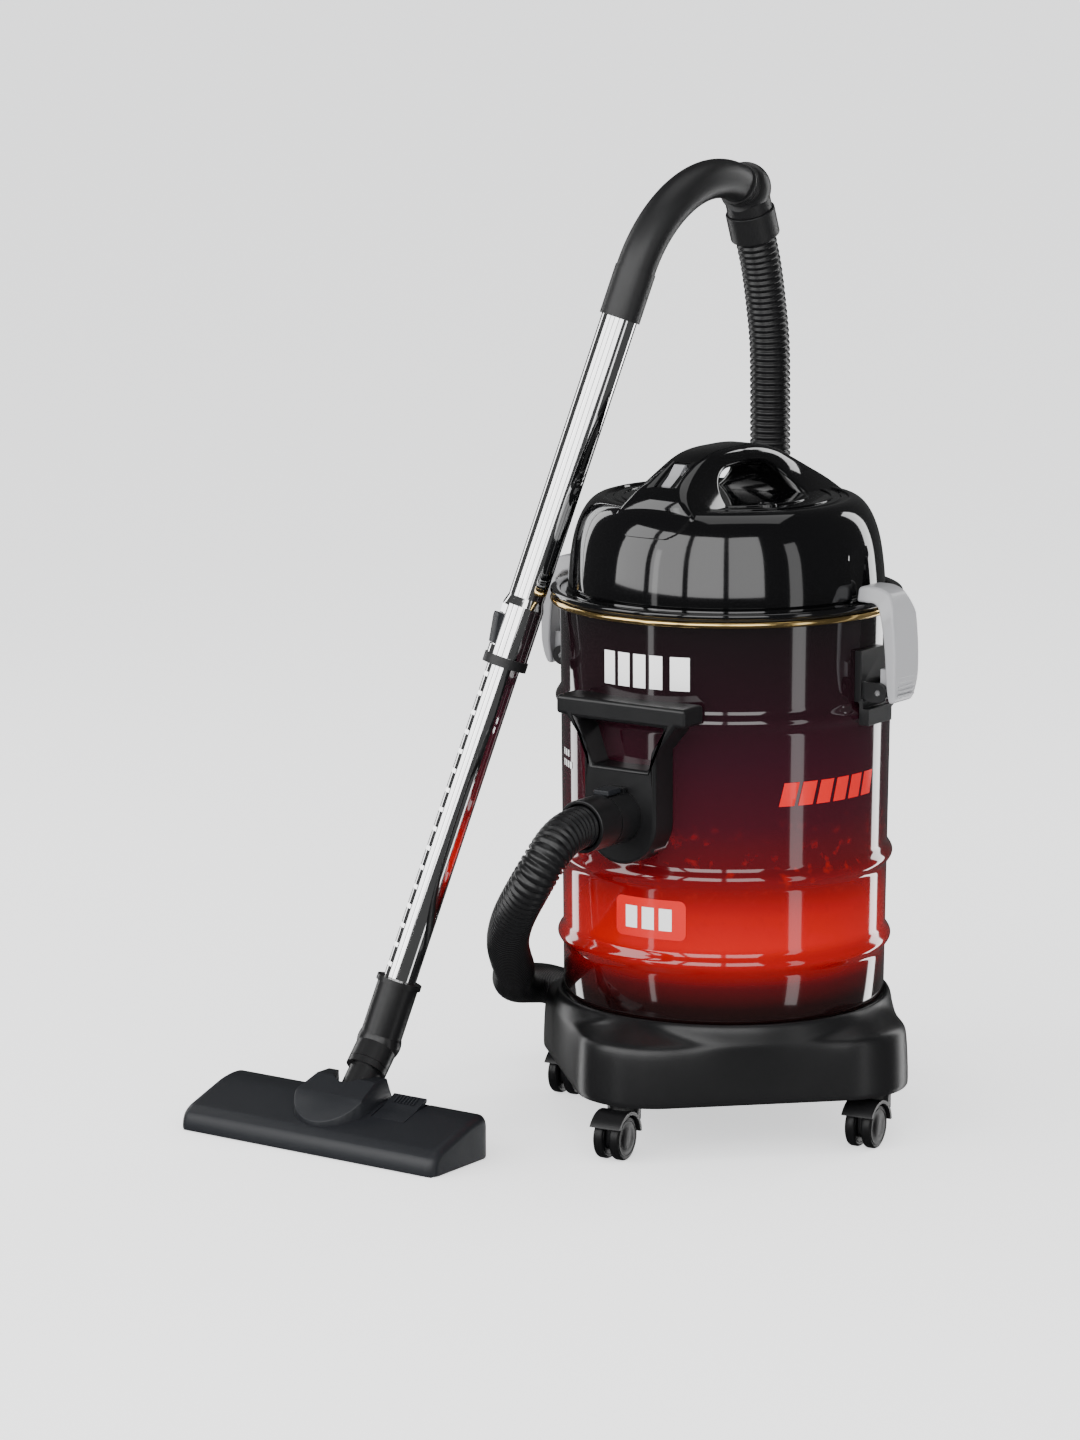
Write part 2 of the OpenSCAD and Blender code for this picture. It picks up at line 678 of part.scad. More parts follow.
module swept_tube(route, r, sides, step) {
    line = concat(smooth_line(route, step), [route[len(route) - 1]]);
    across = carried(line, 0, [1, 0, 0]);
    count = len(line);
    points = [for (i = [0:count - 1]) let (d = line_dir(line, i), s = across[i], t = cross(d, s))
        for (k = [0:sides - 1]) line[i] + r * (cos(360 * k / sides) * s + sin(360 * k / sides) * t)];
    skin = [for (i = [0:count - 2], k = [0:sides - 1])
        let (a = i * sides + k, b = i * sides + (k + 1) % sides) [a, a + sides, b + sides, b]];
    caps = [[for (k = [0:sides - 1]) k], [for (k = [sides - 1:-1:0]) (count - 1) * sides + k]];
    polyhedron(points = points, faces = concat(skin, caps), convexity = 10);
}

module hose() {
    color(black) swept_tube(hose_route, hose_d / 2, 12, hose_ring_gap);
}

module hose_connector() {
    color(satin) along_front(0, inlet_z) translate([0, 0, bracket_y]) difference() {
        union() {
            cylinder(r = cuff_d / 2, h = connector_l);
            translate([0, 0, -24]) cylinder(r = spigot_r, h = 25);
            translate([-9, cuff_d / 2 - 4, 2]) cube([18, 7, 4]);
        }
        translate([0, 0, -30]) cylinder(r = 17, h = 80);
        translate([-8.3, cuff_d / 2 - 3.5, 8]) cube([16.6, 20, 20.6]);
        translate([0, 0, connector_l - 6]) ring(cuff_d / 2 + cut, cuff_d / 2 - 2.6, 8);
    }
}

module connector_button() {
    color(slate) along_front(0, inlet_z) translate([0, 0, bracket_y])
        translate([-8, cuff_d / 2 - 1, 8.3]) cube([16, 5, 20]);
}

module hose_cuff_lower() {
    color(satin) along_front(0, inlet_z) translate([0, 0, bracket_y + connector_l - 5.7]) difference() {
        cylinder(r = cuff_d / 2, h = cuff_l + 5);
        translate([0, 0, -cut]) cylinder(r = cuff_d / 2 - 2.6 + fit, h = 7);
        translate([0, 0, -cut]) cylinder(r = 17, h = 80);
        translate([0, 0, 19.8]) cylinder(r = hose_d / 2 + 1, h = 20);
    }
}

module on_wand() {
    translate(wand_foot) rotate([0, wand_tilt, wand_turn]) children();
}

module lower_tube() {
    color(steel) on_wand() difference() {
        translate([0, 0, -socket_grip]) cylinder(r = lower_d / 2, h = socket_grip + lower_shown + tube_lap);
        translate([0, 0, -socket_grip - cut])
            cylinder(r = lower_d / 2 - tube_wall - 0.6, h = socket_grip + lower_shown + tube_lap + 2 * cut);
        for (i = [0:notch_count - 1]) rotate(key_angle) translate([lower_d / 2, 0, 12 + notch_pitch * i])
            cube([1.4, 10, 4], center = true);
    }
}

module guide_bush() {
    color(black) on_wand() translate([0, 0, lower_shown + tube_lap - 20])
        ring(upper_bore_r - fit, lower_d / 2, 16);
}

module upper_tube() {
    color(steel) on_wand() translate([0, 0, lower_shown]) difference() {
        rotate_extrude() polygon([
            [upper_bore_r, 0], [swage_r, 0], [swage_r, swage_l - 8], [upper_d / 2, swage_l],
            [upper_d / 2, upper_l], [upper_bore_r, upper_l]]);
        rotate(key_angle) translate([upper_bore_r + 0.5, -6.2, 8]) cube([20, 12.4, 38]);
    }
}

module lock_collar() {
    color(black) on_wand() translate([0, 0, lower_shown - collar_l])
        ring(swage_r + 1.5, lower_d / 2 + gap, collar_l);
}

module lock_button() {
    color(slate) on_wand() rotate(key_angle) translate([0, 0, lower_shown + 9]) rotate([90, 0, 0])
        linear_extrude(height = 12, center = true) polygon([
            [upper_bore_r + 0.8, 0], [swage_r + 1, 0], [swage_r + 5, 24], [swage_r + 5, 28],
            [upper_bore_r + 0.8, 28]]);
}

module grip_sleeve() {
    color(black) on_wand() translate([0, 0, grip_s]) difference() {
        translate([0, 0, -16]) cylinder(r = grip_d / 2 + 0.8, h = grip_straight + 16);
        translate([0, 0, -16 - cut]) cylinder(r = upper_d / 2, h = 16 + cut);
        translate([0, 0, -16 - cut]) cylinder(r = grip_d / 2 - 4, h = grip_straight + 20);
    }
}

module handle_grip() {
    color(black) on_wand() translate([0, 0, grip_s + grip_straight]) rotate(grip_turn + 180)
        translate([-grip_bend_r, 0, 0]) rotate([90, 0, 0])
            rotate_extrude(angle = grip_bend) translate([grip_bend_r, 0]) difference() {
                circle(r = grip_d / 2);
                circle(r = grip_d / 2 - 4);
            }
}

// Frame at the end of the bent grip, +Z along its last direction
module at_grip_end() {
    on_wand() translate([0, 0, grip_s + grip_straight]) rotate(grip_turn)
        translate([grip_bend_r, 0, 0]) rotate([0, grip_bend, 0]) translate([-grip_bend_r, 0, 0]) children();
}

module grip_collar() {
    color(black) at_grip_end() difference() {
        cylinder(r = grip_d / 2 + 2, h = 10);
        translate([0, 0, -cut]) cylinder(r = grip_d / 2 - 5, h = 20);
        for (z = [2, 4.8, 7.6]) translate([0, 0, z]) ring(grip_d, grip_d / 2 + 0.8, 1.2);
    }
}

module at_knuckle() {
    translate(knuckle) rotate([180 + hose_hang, 0, 0]) children();
}

module hose_elbow() {
    color(black) difference() {
        union() {
            translate(knuckle) sphere(r = knuckle_r);
            at_knuckle() cylinder(r = 21, h = 22);
            at_knuckle() cylinder(r = 19, h = 26);
        }
        at_grip_end() translate([-40, -40, -50]) cube([80, 80, 60]);
        at_knuckle() cylinder(r = 14, h = 40);
    }
}

module hose_cuff_upper() {
    color(black) at_knuckle() translate([0, 0, 22.4]) difference() {
        cylinder(r = 23, h = 26);
        translate([0, 0, -cut]) cylinder(r = 19 + fit, h = 5);
        translate([0, 0, -cut]) cylinder(r = 16, h = 40);
        translate([0, 0, 5.8]) cylinder(r = hose_d / 2 + 2, h = 30);
    }
}

module neck_socket() {
    color(satin) difference() {
        union() {
            on_wand() translate([0, 0, -socket_l]) cylinder(r = 19, h = socket_l);
            on_wand() translate([0, 0, -5]) cylinder(r = 21, h = 5);
            translate(neck_elbow) sphere(r = 20.5);
            translate(neck_elbow) rotate([180 - neck_tilt, 0, 0]) cylinder(r = 19, h = 24);
        }
        on_wand() translate([0, 0, -socket_grip]) cylinder(r = lower_d / 2, h = socket_grip + cut);
        on_wand() translate([0, 0, -socket_l]) cylinder(r = 12, h = socket_l);
        translate(neck_elbow) rotate([180 - neck_tilt, 0, 0]) cylinder(r = 12, h = 40);
        translate(neck_elbow) sphere(r = 13);
        translate(neck_elbow) rotate([180 - neck_tilt, 0, 0]) translate([0, 0, 10])
            cylinder(r = 15 + fit, h = 40);
    }
}

module neck_pivot() {
    color(satin) difference() {
        union() {
            translate(neck_elbow) rotate([180 - neck_tilt, 0, 0]) {
                translate([0, 0, 10.5]) cylinder(r = 15, h = neck_l - 10.5);
                translate([0, 0, 24.4]) cylinder(r = 19, h = 6);
            }
            translate(pivot) rotate([0, 90, 0]) cylinder(r = barrel_r, h = barrel_l, center = true);
            translate(pivot) rotate([0, 90, 0]) cylinder(r = 4, h = barrel_l + 10, center = true);
        }
        translate(neck_elbow) rotate([180 - neck_tilt, 0, 0]) cylinder(r = 11, h = neck_l);
    }
}

module at_nozzle() {
    translate([pivot[0], pivot[1], 0]) children();
}

// Side outline of the nozzle's shell, drawn in by an inset
module nozzle_outline(inset) {
    polygon([
        [-nozzle_front + inset, sole_h], [nozzle_back - inset, sole_h], [nozzle_back - inset,
            nozzle_h - 8 - inset],
        [nozzle_back - 6 - inset, nozzle_h - inset], [-4, nozzle_h - inset],
        [-nozzle_front + 10, nozzle_front_h + 2 - inset], [-nozzle_front + 3 + inset,
            nozzle_front_h - 3 - inset],
        [-nozzle_front + inset, nozzle_front_h - 9 - inset]]);
}

module nozzle_body() {
    color(slate) at_nozzle() difference() {
        side_slab(nozzle_l) nozzle_outline(0);
        difference() {
            side_slab(nozzle_l - 6) nozzle_outline(3);
            for (x = [-barrel_l / 2 - 6, barrel_l / 2 + 1]) translate([x, -14, 0]) cube([5, 28, nozzle_h]);
            for (x = [-nozzle_l / 2 + 14, nozzle_l / 2 - 14]) translate([x, -34, 0])
                cylinder(r = 5, h = nozzle_h);
            for (side = [-1, 1]) translate([side * roller_x - 17, nozzle_back - 24, 0]) cube([34, 24, 22]);
            for (side = [-1, 1]) translate([pedal_x + side * (pedal_w / 2 + 3) - 1.5, pedal_y - 5, 0])
                cube([3, 10, nozzle_h - 5]);
        }
        translate([-nozzle_l / 2 + 3, -nozzle_front + 3, 0])
            cube([nozzle_l - 6, nozzle_front + nozzle_back - 6, sole_h + cut]);
        translate([-barrel_l / 2 - 1, -barrel_r - 3, sole_h + cut])
            cube([barrel_l + 2, barrel_r + nozzle_back + 10, nozzle_h]);
        translate([0, 0, pivot_z]) rotate([0, 90, 0]) cylinder(r = 4 + fit, h = barrel_l + 11, center = true);
        for (side = [-1, 1]) translate([side * roller_x - 14, nozzle_back - 21, -cut]) cube([28, 30, 20]);
        side_slab_at(pedal_x, pedal_w + 2) polygon([
            [pedal_y - pedal_front - 1, nozzle_front_h + 1], [pedal_y, nozzle_h - 16],
            [pedal_y + pedal_rear + 5, nozzle_h - 10], [pedal_y + pedal_rear + 5, nozzle_h + cut],
            [pedal_y - pedal_front - 1, nozzle_h + cut]]);
        for (x = [-nozzle_l / 2 + 14, nozzle_l / 2 - 14]) translate([x, -34, 0]) cylinder(r = 1.5, h = 14);
        translate([pedal_x, pedal_y, pedal_z]) rotate([0, 90, 0])
            cylinder(r = 2 + fit, h = pedal_w + 12, center = true);
        translate([0, nozzle_back - 10, roller_r]) rotate([0, 90, 0])
            cylinder(r = 2 + fit, h = 2 * roller_x + 32, center = true);
    }
}

// Height of the nozzle's sloping roof at a depth in front of its top edge
function roof_z(y) = nozzle_h + (y + 4) * tan(roof_slope);

// Plan of the hood: square at the back and round at the tip
module tongue(inset) {
    half = hood_w / 2 - inset;
    polygon(concat([[half, hood_rear + cut], [-half, hood_rear + cut]],
        [for (a = [180:7.5:360]) [half * cos(a), (hood_tip - 20 - inset) * sin(a) - 20]]));
}

module nozzle_hood() {
    color(slate) at_nozzle() difference() {
        intersection() {
            side_slab(hood_w) polygon([
                [hood_rear, nozzle_h + gap], [hood_rear, hood_h - 5], [hood_rear - 5, hood_h], [-8,
                    hood_h - 1],
                [-30, hood_h - 10], [-hood_tip, roof_z(-hood_tip) + 3], [-hood_tip, roof_z(-hood_tip) + gap],
                [-4, nozzle_h + gap]]);
            linear_extrude(height = hood_h + cut) tongue(0);
        }
        intersection() {
            side_slab(hood_w) polygon([
                [hood_rear + cut, 0], [hood_rear + cut, hood_h - 5 - hood_skin], [-8, hood_h - 1 - hood_skin],
                [-30, hood_h - 10 - hood_skin], [-hood_tip + 10, roof_z(-hood_tip + 10)], [-hood_tip + 10,
                    0]]);
            linear_extrude(height = hood_h + cut) tongue(hood_skin);
        }
        translate([0, 0, pivot_z]) for (lean = [-14, 0, 14]) rotate([-neck_tilt - lean, 0, 0])
            cylinder(r = 21.5, h = 60);
    }
}

module nozzle_sole() {
    color(steel) at_nozzle() difference() {
        translate([-nozzle_l / 2 + 3, -nozzle_front + 3, 0])
            cube([nozzle_l - 6, nozzle_front + nozzle_back - 6, sole_h]);
        translate([-nozzle_l / 2 + 16, -nozzle_front + 16, -cut]) cube([nozzle_l - 32, 14, 10]);
        translate([-nozzle_l / 2 + 16, -nozzle_front + 9, -cut]) cube([nozzle_l - 32, 5, 10]);
        for (side = [-1, 1]) translate([side * roller_x - 14, nozzle_back - 21, -cut]) cube([28, 30, 20]);
        for (x = [-nozzle_l / 2 + 14, nozzle_l / 2 - 14]) translate([x, -34, -cut]) {
            cylinder(r = 1.5, h = 10);
            cylinder(r = 3.2, h = 2.2);
        }
    }
}

module sole_screws() {
    color(steel) at_nozzle() for (x = [-nozzle_l / 2 + 14, nozzle_l / 2 - 14]) translate([x, -34, 0]) {
        translate([0, 0, 0.3]) cylinder(r = 3, h = 0.9);
        translate([0, 0, 0.3]) cylinder(r = 1.4, h = 12);
    }
}

module brush_strip() {
    color(black) at_nozzle() translate([-nozzle_l / 2 + 18, -nozzle_front + 10, 1])
        cube([nozzle_l - 36, 3, 10]);
}

module nozzle_pedal() {
    roof = tan(roof_slope);
    color(slate) at_nozzle() {
        side_slab_at(pedal_x, pedal_w) polygon([
            [pedal_y - pedal_front, nozzle_h - 2 - pedal_front * roof],
            [pedal_y, nozzle_h - 2], [pedal_y + pedal_rear, nozzle_h - 2 + pedal_lift],
            [pedal_y + pedal_rear, nozzle_h - 5 + pedal_lift], [pedal_y, pedal_z - 4],
            [pedal_y - pedal_front, nozzle_h - 5 - pedal_front * roof]]);
        translate([pedal_x, pedal_y, pedal_z]) rotate([0, 90, 0])
            cylinder(r = 2, h = pedal_w + 7, center = true);
    }
}

module nozzle_rollers() {
    color(black) at_nozzle() for (side = [-1, 1]) translate([side * roller_x, nozzle_back - 10, roller_r])
        rotate([0, 90, 0]) {
            cylinder(r = roller_r, h = 24, center = true);
            cylinder(r = 2, h = 31, center = true);
        }
}

base_plinth();
base_screws();
drum();
rim_band();
inlet_bracket();
inlet_gasket();
inlet_port();
inlet_screws();
latch_bracket_right();
latch_bracket_left();
latch_pins();
latch_lever_right();
latch_lever_left();
head_flange();
head_gasket();
head_cover();
head_handle();
handle_screws();
switch_bezel();
switch_rocker();
exhaust_grille();
cord_gland();
motor_body();
fan_housing();
motor_seal();
motor_rotor();
filter_cage();
filter_bag();
foam_filter();
caster_fork(0);  // caster_fork_right
caster_fork(1);  // caster_fork_rear
caster_fork(2);  // caster_fork_left
caster_fork(3);  // caster_fork_front
caster_wheels(0);  // caster_wheels_right
caster_wheels(1);  // caster_wheels_rear
caster_wheels(2);  // caster_wheels_left
caster_wheels(3);  // caster_wheels_front
hose();
hose_connector();
connector_button();
hose_cuff_lower();
hose_cuff_upper();
hose_elbow();
grip_sleeve();
handle_grip();
grip_collar();
upper_tube();
lock_collar();
lock_button();
guide_bush();
lower_tube();
neck_socket();
neck_pivot();
nozzle_body();
nozzle_hood();
nozzle_sole();
nozzle_pedal();
brush_strip();
nozzle_rollers();
sole_screws();
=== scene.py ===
import bpy, bmesh, json, math
from mathutils import Matrix, Vector


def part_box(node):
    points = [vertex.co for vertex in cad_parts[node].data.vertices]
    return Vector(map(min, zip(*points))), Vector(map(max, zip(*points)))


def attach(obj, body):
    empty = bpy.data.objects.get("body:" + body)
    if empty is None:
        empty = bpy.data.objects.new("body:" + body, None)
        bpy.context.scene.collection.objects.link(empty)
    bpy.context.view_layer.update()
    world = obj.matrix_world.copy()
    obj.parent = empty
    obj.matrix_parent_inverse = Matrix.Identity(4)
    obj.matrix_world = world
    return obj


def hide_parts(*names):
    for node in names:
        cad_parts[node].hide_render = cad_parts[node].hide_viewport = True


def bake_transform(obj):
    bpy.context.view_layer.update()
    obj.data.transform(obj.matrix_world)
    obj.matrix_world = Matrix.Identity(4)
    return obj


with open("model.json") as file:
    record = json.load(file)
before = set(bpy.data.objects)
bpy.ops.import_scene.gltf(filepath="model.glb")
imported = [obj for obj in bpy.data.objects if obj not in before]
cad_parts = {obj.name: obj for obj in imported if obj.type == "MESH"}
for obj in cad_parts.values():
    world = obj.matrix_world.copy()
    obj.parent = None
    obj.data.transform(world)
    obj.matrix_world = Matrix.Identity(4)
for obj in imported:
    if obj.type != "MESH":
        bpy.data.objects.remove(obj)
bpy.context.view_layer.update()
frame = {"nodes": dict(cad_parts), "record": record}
print("frame loaded")

scene = bpy.context.scene
bodyOf = {node: body for body, nodes in frame["record"]["behaviour"]["bodies"].items() for node in nodes}
slotOf = {part["node"]: part["material_slot"] for part in frame["record"]["subparts"]}

# the camera: turned and raised in degrees, the rest in metres
view = {"turn": 35, "rise": 10.7, "away": 4.478, "lens": 123.6, "aimX": -0.1376, "aimY": -0.0964,
        "aimZ": 0.369}

camera = bpy.data.objects.new("camera", bpy.data.cameras.new("camera"))
scene.collection.objects.link(camera)
scene.camera = camera
camera.data.lens = view["lens"]
camera.data.sensor_width = 36
camera.data.clip_end = 200
camera.rotation_euler = (math.radians(90 - view["rise"]), 0, math.radians(view["turn"]))
aim = Vector((view["aimX"], view["aimY"], view["aimZ"]))
camera.location = aim + camera.rotation_euler.to_matrix() @ Vector((0, 0, view["away"]))


def makeGroup(name, inputs, outputs):
    group = bpy.data.node_groups.new(name, "ShaderNodeTree")
    for label, value in inputs:
        socket = group.interface.new_socket(label, in_out="INPUT", socket_type="NodeSocketFloat")
        socket.default_value = value
    for label in outputs:
        group.interface.new_socket(label, in_out="OUTPUT", socket_type="NodeSocketFloat")
    source = group.nodes.new("NodeGroupInput")
    sink = group.nodes.new("NodeGroupOutput")
    return group, source, sink


def addNode(tree, kind, **settings):
    node = tree.nodes.new(kind)
    for key, value in settings.items():
        setattr(node, key, value)
    return node


# moulded grain: fine pits for the bump, broad clouds for uneven gloss
grain, grainIn, grainOut = makeGroup("mouldedGrain", [("Scale", 900.0), ("Cloud", 9.0)], ["Height", "Uneven"])
place = addNode(grain, "ShaderNodeTexCoord")
fine = addNode(grain, "ShaderNodeTexNoise")
fine.inputs["Detail"].default_value = 3
cloud = addNode(grain, "ShaderNodeTexNoise")
cloud.inputs["Detail"].default_value = 5
cloud.inputs["Roughness"].default_value = 0.62
for noise, label in ((fine, "Scale"), (cloud, "Cloud")):
    grain.links.new(place.outputs["Object"], noise.inputs["Vector"])
    grain.links.new(grainIn.outputs[label], noise.inputs["Scale"])
grain.links.new(fine.outputs["Fac"], grainOut.inputs["Height"])
grain.links.new(cloud.outputs["Fac"], grainOut.inputs["Uneven"])

def mixColour(tree, factor, low, high):
    blend = addNode(tree, "ShaderNodeMix", data_type="RGBA")
    blend.inputs["A"].default_value = (*low, 1)
    blend.inputs["B"].default_value = (*high, 1)
    tree.links.new(factor, blend.inputs["Factor"])
    return blend.outputs["Result"]


def finish(name, colour, rough, spread=0.06, metal=0.0, coat=0.0, grainScale=900, bump=0.0, lift=1.25,
           cloudScale=9, sheen=0.0, specular=0.5):
    material = bpy.data.materials.new(name)
    material.use_nodes = True
    tree = material.node_tree
    shader = tree.nodes["Principled BSDF"]
    shader.inputs["Metallic"].default_value = metal
    shader.inputs["Coat Weight"].default_value = coat
    shader.inputs["Coat Roughness"].default_value = 0.03
    shader.inputs["Specular IOR Level"].default_value = specular
    shader.inputs["Sheen Weight"].default_value = sheen
    surface = addNode(tree, "ShaderNodeGroup", node_tree=grain)
    surface.inputs["Scale"].default_value = grainScale
    surface.inputs["Cloud"].default_value = cloudScale
    tone = mixColour(tree, surface.outputs["Uneven"], colour, [min(1, c * lift) for c in colour])
    tree.links.new(tone, shader.inputs["Base Color"])
    gloss = addNode(tree, "ShaderNodeMapRange")
    gloss.inputs["From Min"].default_value = 0.3
    gloss.inputs["From Max"].default_value = 0.7
    gloss.inputs["To Min"].default_value = max(0.01, rough - spread / 2)
    gloss.inputs["To Max"].default_value = rough + spread / 2
    tree.links.new(surface.outputs["Uneven"], gloss.inputs["Value"])
    tree.links.new(gloss.outputs["Result"], shader.inputs["Roughness"])
    if bump:
        relief = addNode(tree, "ShaderNodeBump")
        relief.inputs["Strength"].default_value = bump
        relief.inputs["Distance"].default_value = 0.0004
        tree.links.new(surface.outputs["Height"], relief.inputs["Height"])
        tree.links.new(relief.outputs["Normal"], shader.inputs["Normal"])
    return material


glossBlack = finish("glossBlack", (0.002, 0.002, 0.0023), 0.07, 0.05, coat=0.5, cloudScale=6)
satinBlack = finish("satinBlack", (0.0055, 0.0055, 0.006), 0.34, 0.08, grainScale=1400, bump=0.12)
mattBlack = finish("mattBlack", (0.007, 0.007, 0.0075), 0.42, 0.1, grainScale=1100, bump=0.25)
wheelBlack = finish("wheelBlack", (0.003, 0.003, 0.0034), 0.36, 0.1, grainScale=700, bump=0.08, specular=0.3)
goldBand = finish("goldBand", (0.78, 0.55, 0.22), 0.16, 0.08, metal=1, grainScale=300, cloudScale=30)
sealRubber = finish("sealRubber", (0.01, 0.01, 0.01), 0.6, 0.1, grainScale=600, bump=0.2)
brightSteel = finish("brightSteel", (0.62, 0.62, 0.63), 0.24, 0.1, metal=1, grainScale=1200, bump=0.05)
chromeTube = finish("chromeTube", (0.86, 0.87, 0.88), 0.05, 0.04, metal=1, cloudScale=20)
latchGrey = finish("latchGrey", (0.27, 0.27, 0.28), 0.33, 0.06, coat=0.25, grainScale=1200, bump=0.05,
                   lift=1.1)
slatePlastic = finish("slatePlastic", (0.0085, 0.0095, 0.012), 0.42, 0.08, grainScale=1500, bump=0.45,
                      lift=1.4)
hoseBlack = finish("hoseBlack", (0.0045, 0.0045, 0.005), 0.34, 0.08, grainScale=900, bump=0.08)
filterCloth = finish("filterCloth", (0.62, 0.6, 0.55), 0.85, 0.1, grainScale=1800, bump=0.6, sheen=0.2)
filterFoam = finish("filterFoam", (0.05, 0.05, 0.055), 0.9, 0.1, grainScale=500, bump=1.0)
bristle = finish("bristle", (0.02, 0.02, 0.02), 0.7, 0.2, grainScale=2500, bump=0.8, sheen=0.3)
whitePaint = finish("whitePaint", (0.83, 0.83, 0.83), 0.2, 0.06, coat=0.5, lift=1.03)
redPaint = finish("redPaint", (0.52, 0.003, 0.003), 0.24, 0.06, coat=0.3, lift=1.08)
labelRed = finish("labelRed", (0.56, 0.006, 0.005), 0.24, 0.06, coat=0.3, lift=1.08)

# the drum's lacquer: near black at the rim, red round the two lower beads, dark again at the floor
lacquer = {
    "stops": [(0.0, (0.004, 0.002, 0.002)), (0.05, (0.010, 0.002, 0.002)), (0.10, (0.05, 0.002, 0.003)),
              (0.15, (0.22, 0.003, 0.003)), (0.20, (0.40, 0.004, 0.003)), (0.27, (0.31, 0.003, 0.003)),
              (0.33, (0.16, 0.003, 0.004)), (0.40, (0.07, 0.003, 0.005)), (0.50, (0.036, 0.003, 0.007)),
              (0.66, (0.020, 0.003, 0.007)), (0.8, (0.010, 0.003, 0.005)), (1.0, (0.004, 0.003, 0.0035))],
    "fleck": (0.22, 0.005, 0.005), "fleckScale": 95, "fleckFrom": 0.58, "fleckTo": 0.74,
    "belt": ((0.2, 0), (0.38, 1), (0.52, 0)),
}
redLacquer = finish("redLacquer", (0.2, 0.01, 0.01), 0.09, 0.04, coat=1.0, cloudScale=14)


def fillRamp(node, stops):
    ramp = node.color_ramp
    for element, (position, colour) in zip(ramp.elements, (stops[0], stops[-1])):
        element.position, element.color = position, (*colour, 1)
    for position, colour in stops[1:-1]:
        ramp.elements.new(position).color = (*colour, 1)


tree = redLacquer.node_tree
shader = tree.nodes["Principled BSDF"]
place = addNode(tree, "ShaderNodeTexCoord")
split = addNode(tree, "ShaderNodeSeparateXYZ")
tree.links.new(place.outputs["Object"], split.inputs[0])
drumLow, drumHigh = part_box("drum")
rise = addNode(tree, "ShaderNodeMapRange")
rise.inputs["From Min"].default_value = drumLow[2]
rise.inputs["From Max"].default_value = drumHigh[2]
tree.links.new(split.outputs["Z"], rise.inputs["Value"])
fade = addNode(tree, "ShaderNodeValToRGB")
fillRamp(fade, lacquer["stops"])
tree.links.new(rise.outputs["Result"], fade.inputs["Fac"])
# dull red flecks round the middle bead
flecks = addNode(tree, "ShaderNodeTexNoise")
flecks.inputs["Scale"].default_value = lacquer["fleckScale"]
flecks.inputs["Detail"].default_value = 4
tree.links.new(place.outputs["Object"], flecks.inputs["Vector"])
spots = addNode(tree, "ShaderNodeMapRange")
spots.inputs["From Min"].default_value = lacquer["fleckFrom"]
spots.inputs["From Max"].default_value = lacquer["fleckTo"]
tree.links.new(flecks.outputs["Fac"], spots.inputs["Value"])
belt = addNode(tree, "ShaderNodeValToRGB")
fillRamp(belt, [(position, (level, level, level)) for position, level in lacquer["belt"]])
tree.links.new(rise.outputs["Result"], belt.inputs["Fac"])
both = addNode(tree, "ShaderNodeMath", operation="MULTIPLY")
tree.links.new(spots.outputs["Result"], both.inputs[0])
tree.links.new(belt.outputs["Color"], both.inputs[1])
glow = addNode(tree, "ShaderNodeMix", data_type="RGBA")
glow.inputs["B"].default_value = (*lacquer["fleck"], 1)
tree.links.new(both.outputs[0], glow.inputs["Factor"])
tree.links.new(fade.outputs["Color"], glow.inputs["A"])
tree.links.new(glow.outputs["Result"], shader.inputs["Base Color"])

finishes = {
    "satin_black": satinBlack, "gloss_black": glossBlack, "matt_black": mattBlack, "wheel_black": wheelBlack,
    "red_lacquer": redLacquer, "gold_band": goldBand, "seal_rubber": sealRubber, "bright_steel": brightSteel,
    "chrome_tube": chromeTube, "grey_latch": latchGrey, "slate_plastic": slatePlastic,
            "hose_black": hoseBlack,
    "filter_cloth": filterCloth, "filter_foam": filterFoam, "bristle": bristle,
}
for name, node in frame["nodes"].items():
    node.data.materials.clear()
    node.data.materials.append(finishes[slotOf[name]])
print("finishes made")


def allOf(bm):
    return bm.verts[:] + bm.edges[:] + bm.faces[:]


def newVerts(made):
    return [v for v in made["geom"] if isinstance(v, bmesh.types.BMVert)]


def newEdges(made, key="geom"):
    return [e for e in made[key] if isinstance(e, bmesh.types.BMEdge)]


def turned(degrees, axis):
    return Matrix.Rotation(math.radians(degrees), 3, axis)


def onCircle(degrees, acrossRadius, upRadius=None):
    # the two coordinates of a point on a circle, or on an ellipse where two radii are given
    angle = math.radians(degrees)
    return acrossRadius * math.cos(angle), (upRadius or acrossRadius) * math.sin(angle)


def score(bm, offsets, direction):
    # splits a mesh along parallel planes, so that it can bend there
    for offset in offsets:
        bmesh.ops.bisect_plane(bm, geom=allOf(bm), plane_co=Vector(direction) * offset, plane_no=direction)


def applyModifiers(piece):
    bpy.context.view_layer.update()
    shaped = bpy.data.meshes.new_from_object(piece.evaluated_get(bpy.context.evaluated_depsgraph_get()))
    piece.modifiers.clear()
    piece.data = shaped


def tidyMesh(bm):
    bmesh.ops.remove_doubles(bm, verts=bm.verts, dist=1e-6)
    bmesh.ops.recalc_face_normals(bm, faces=bm.faces)


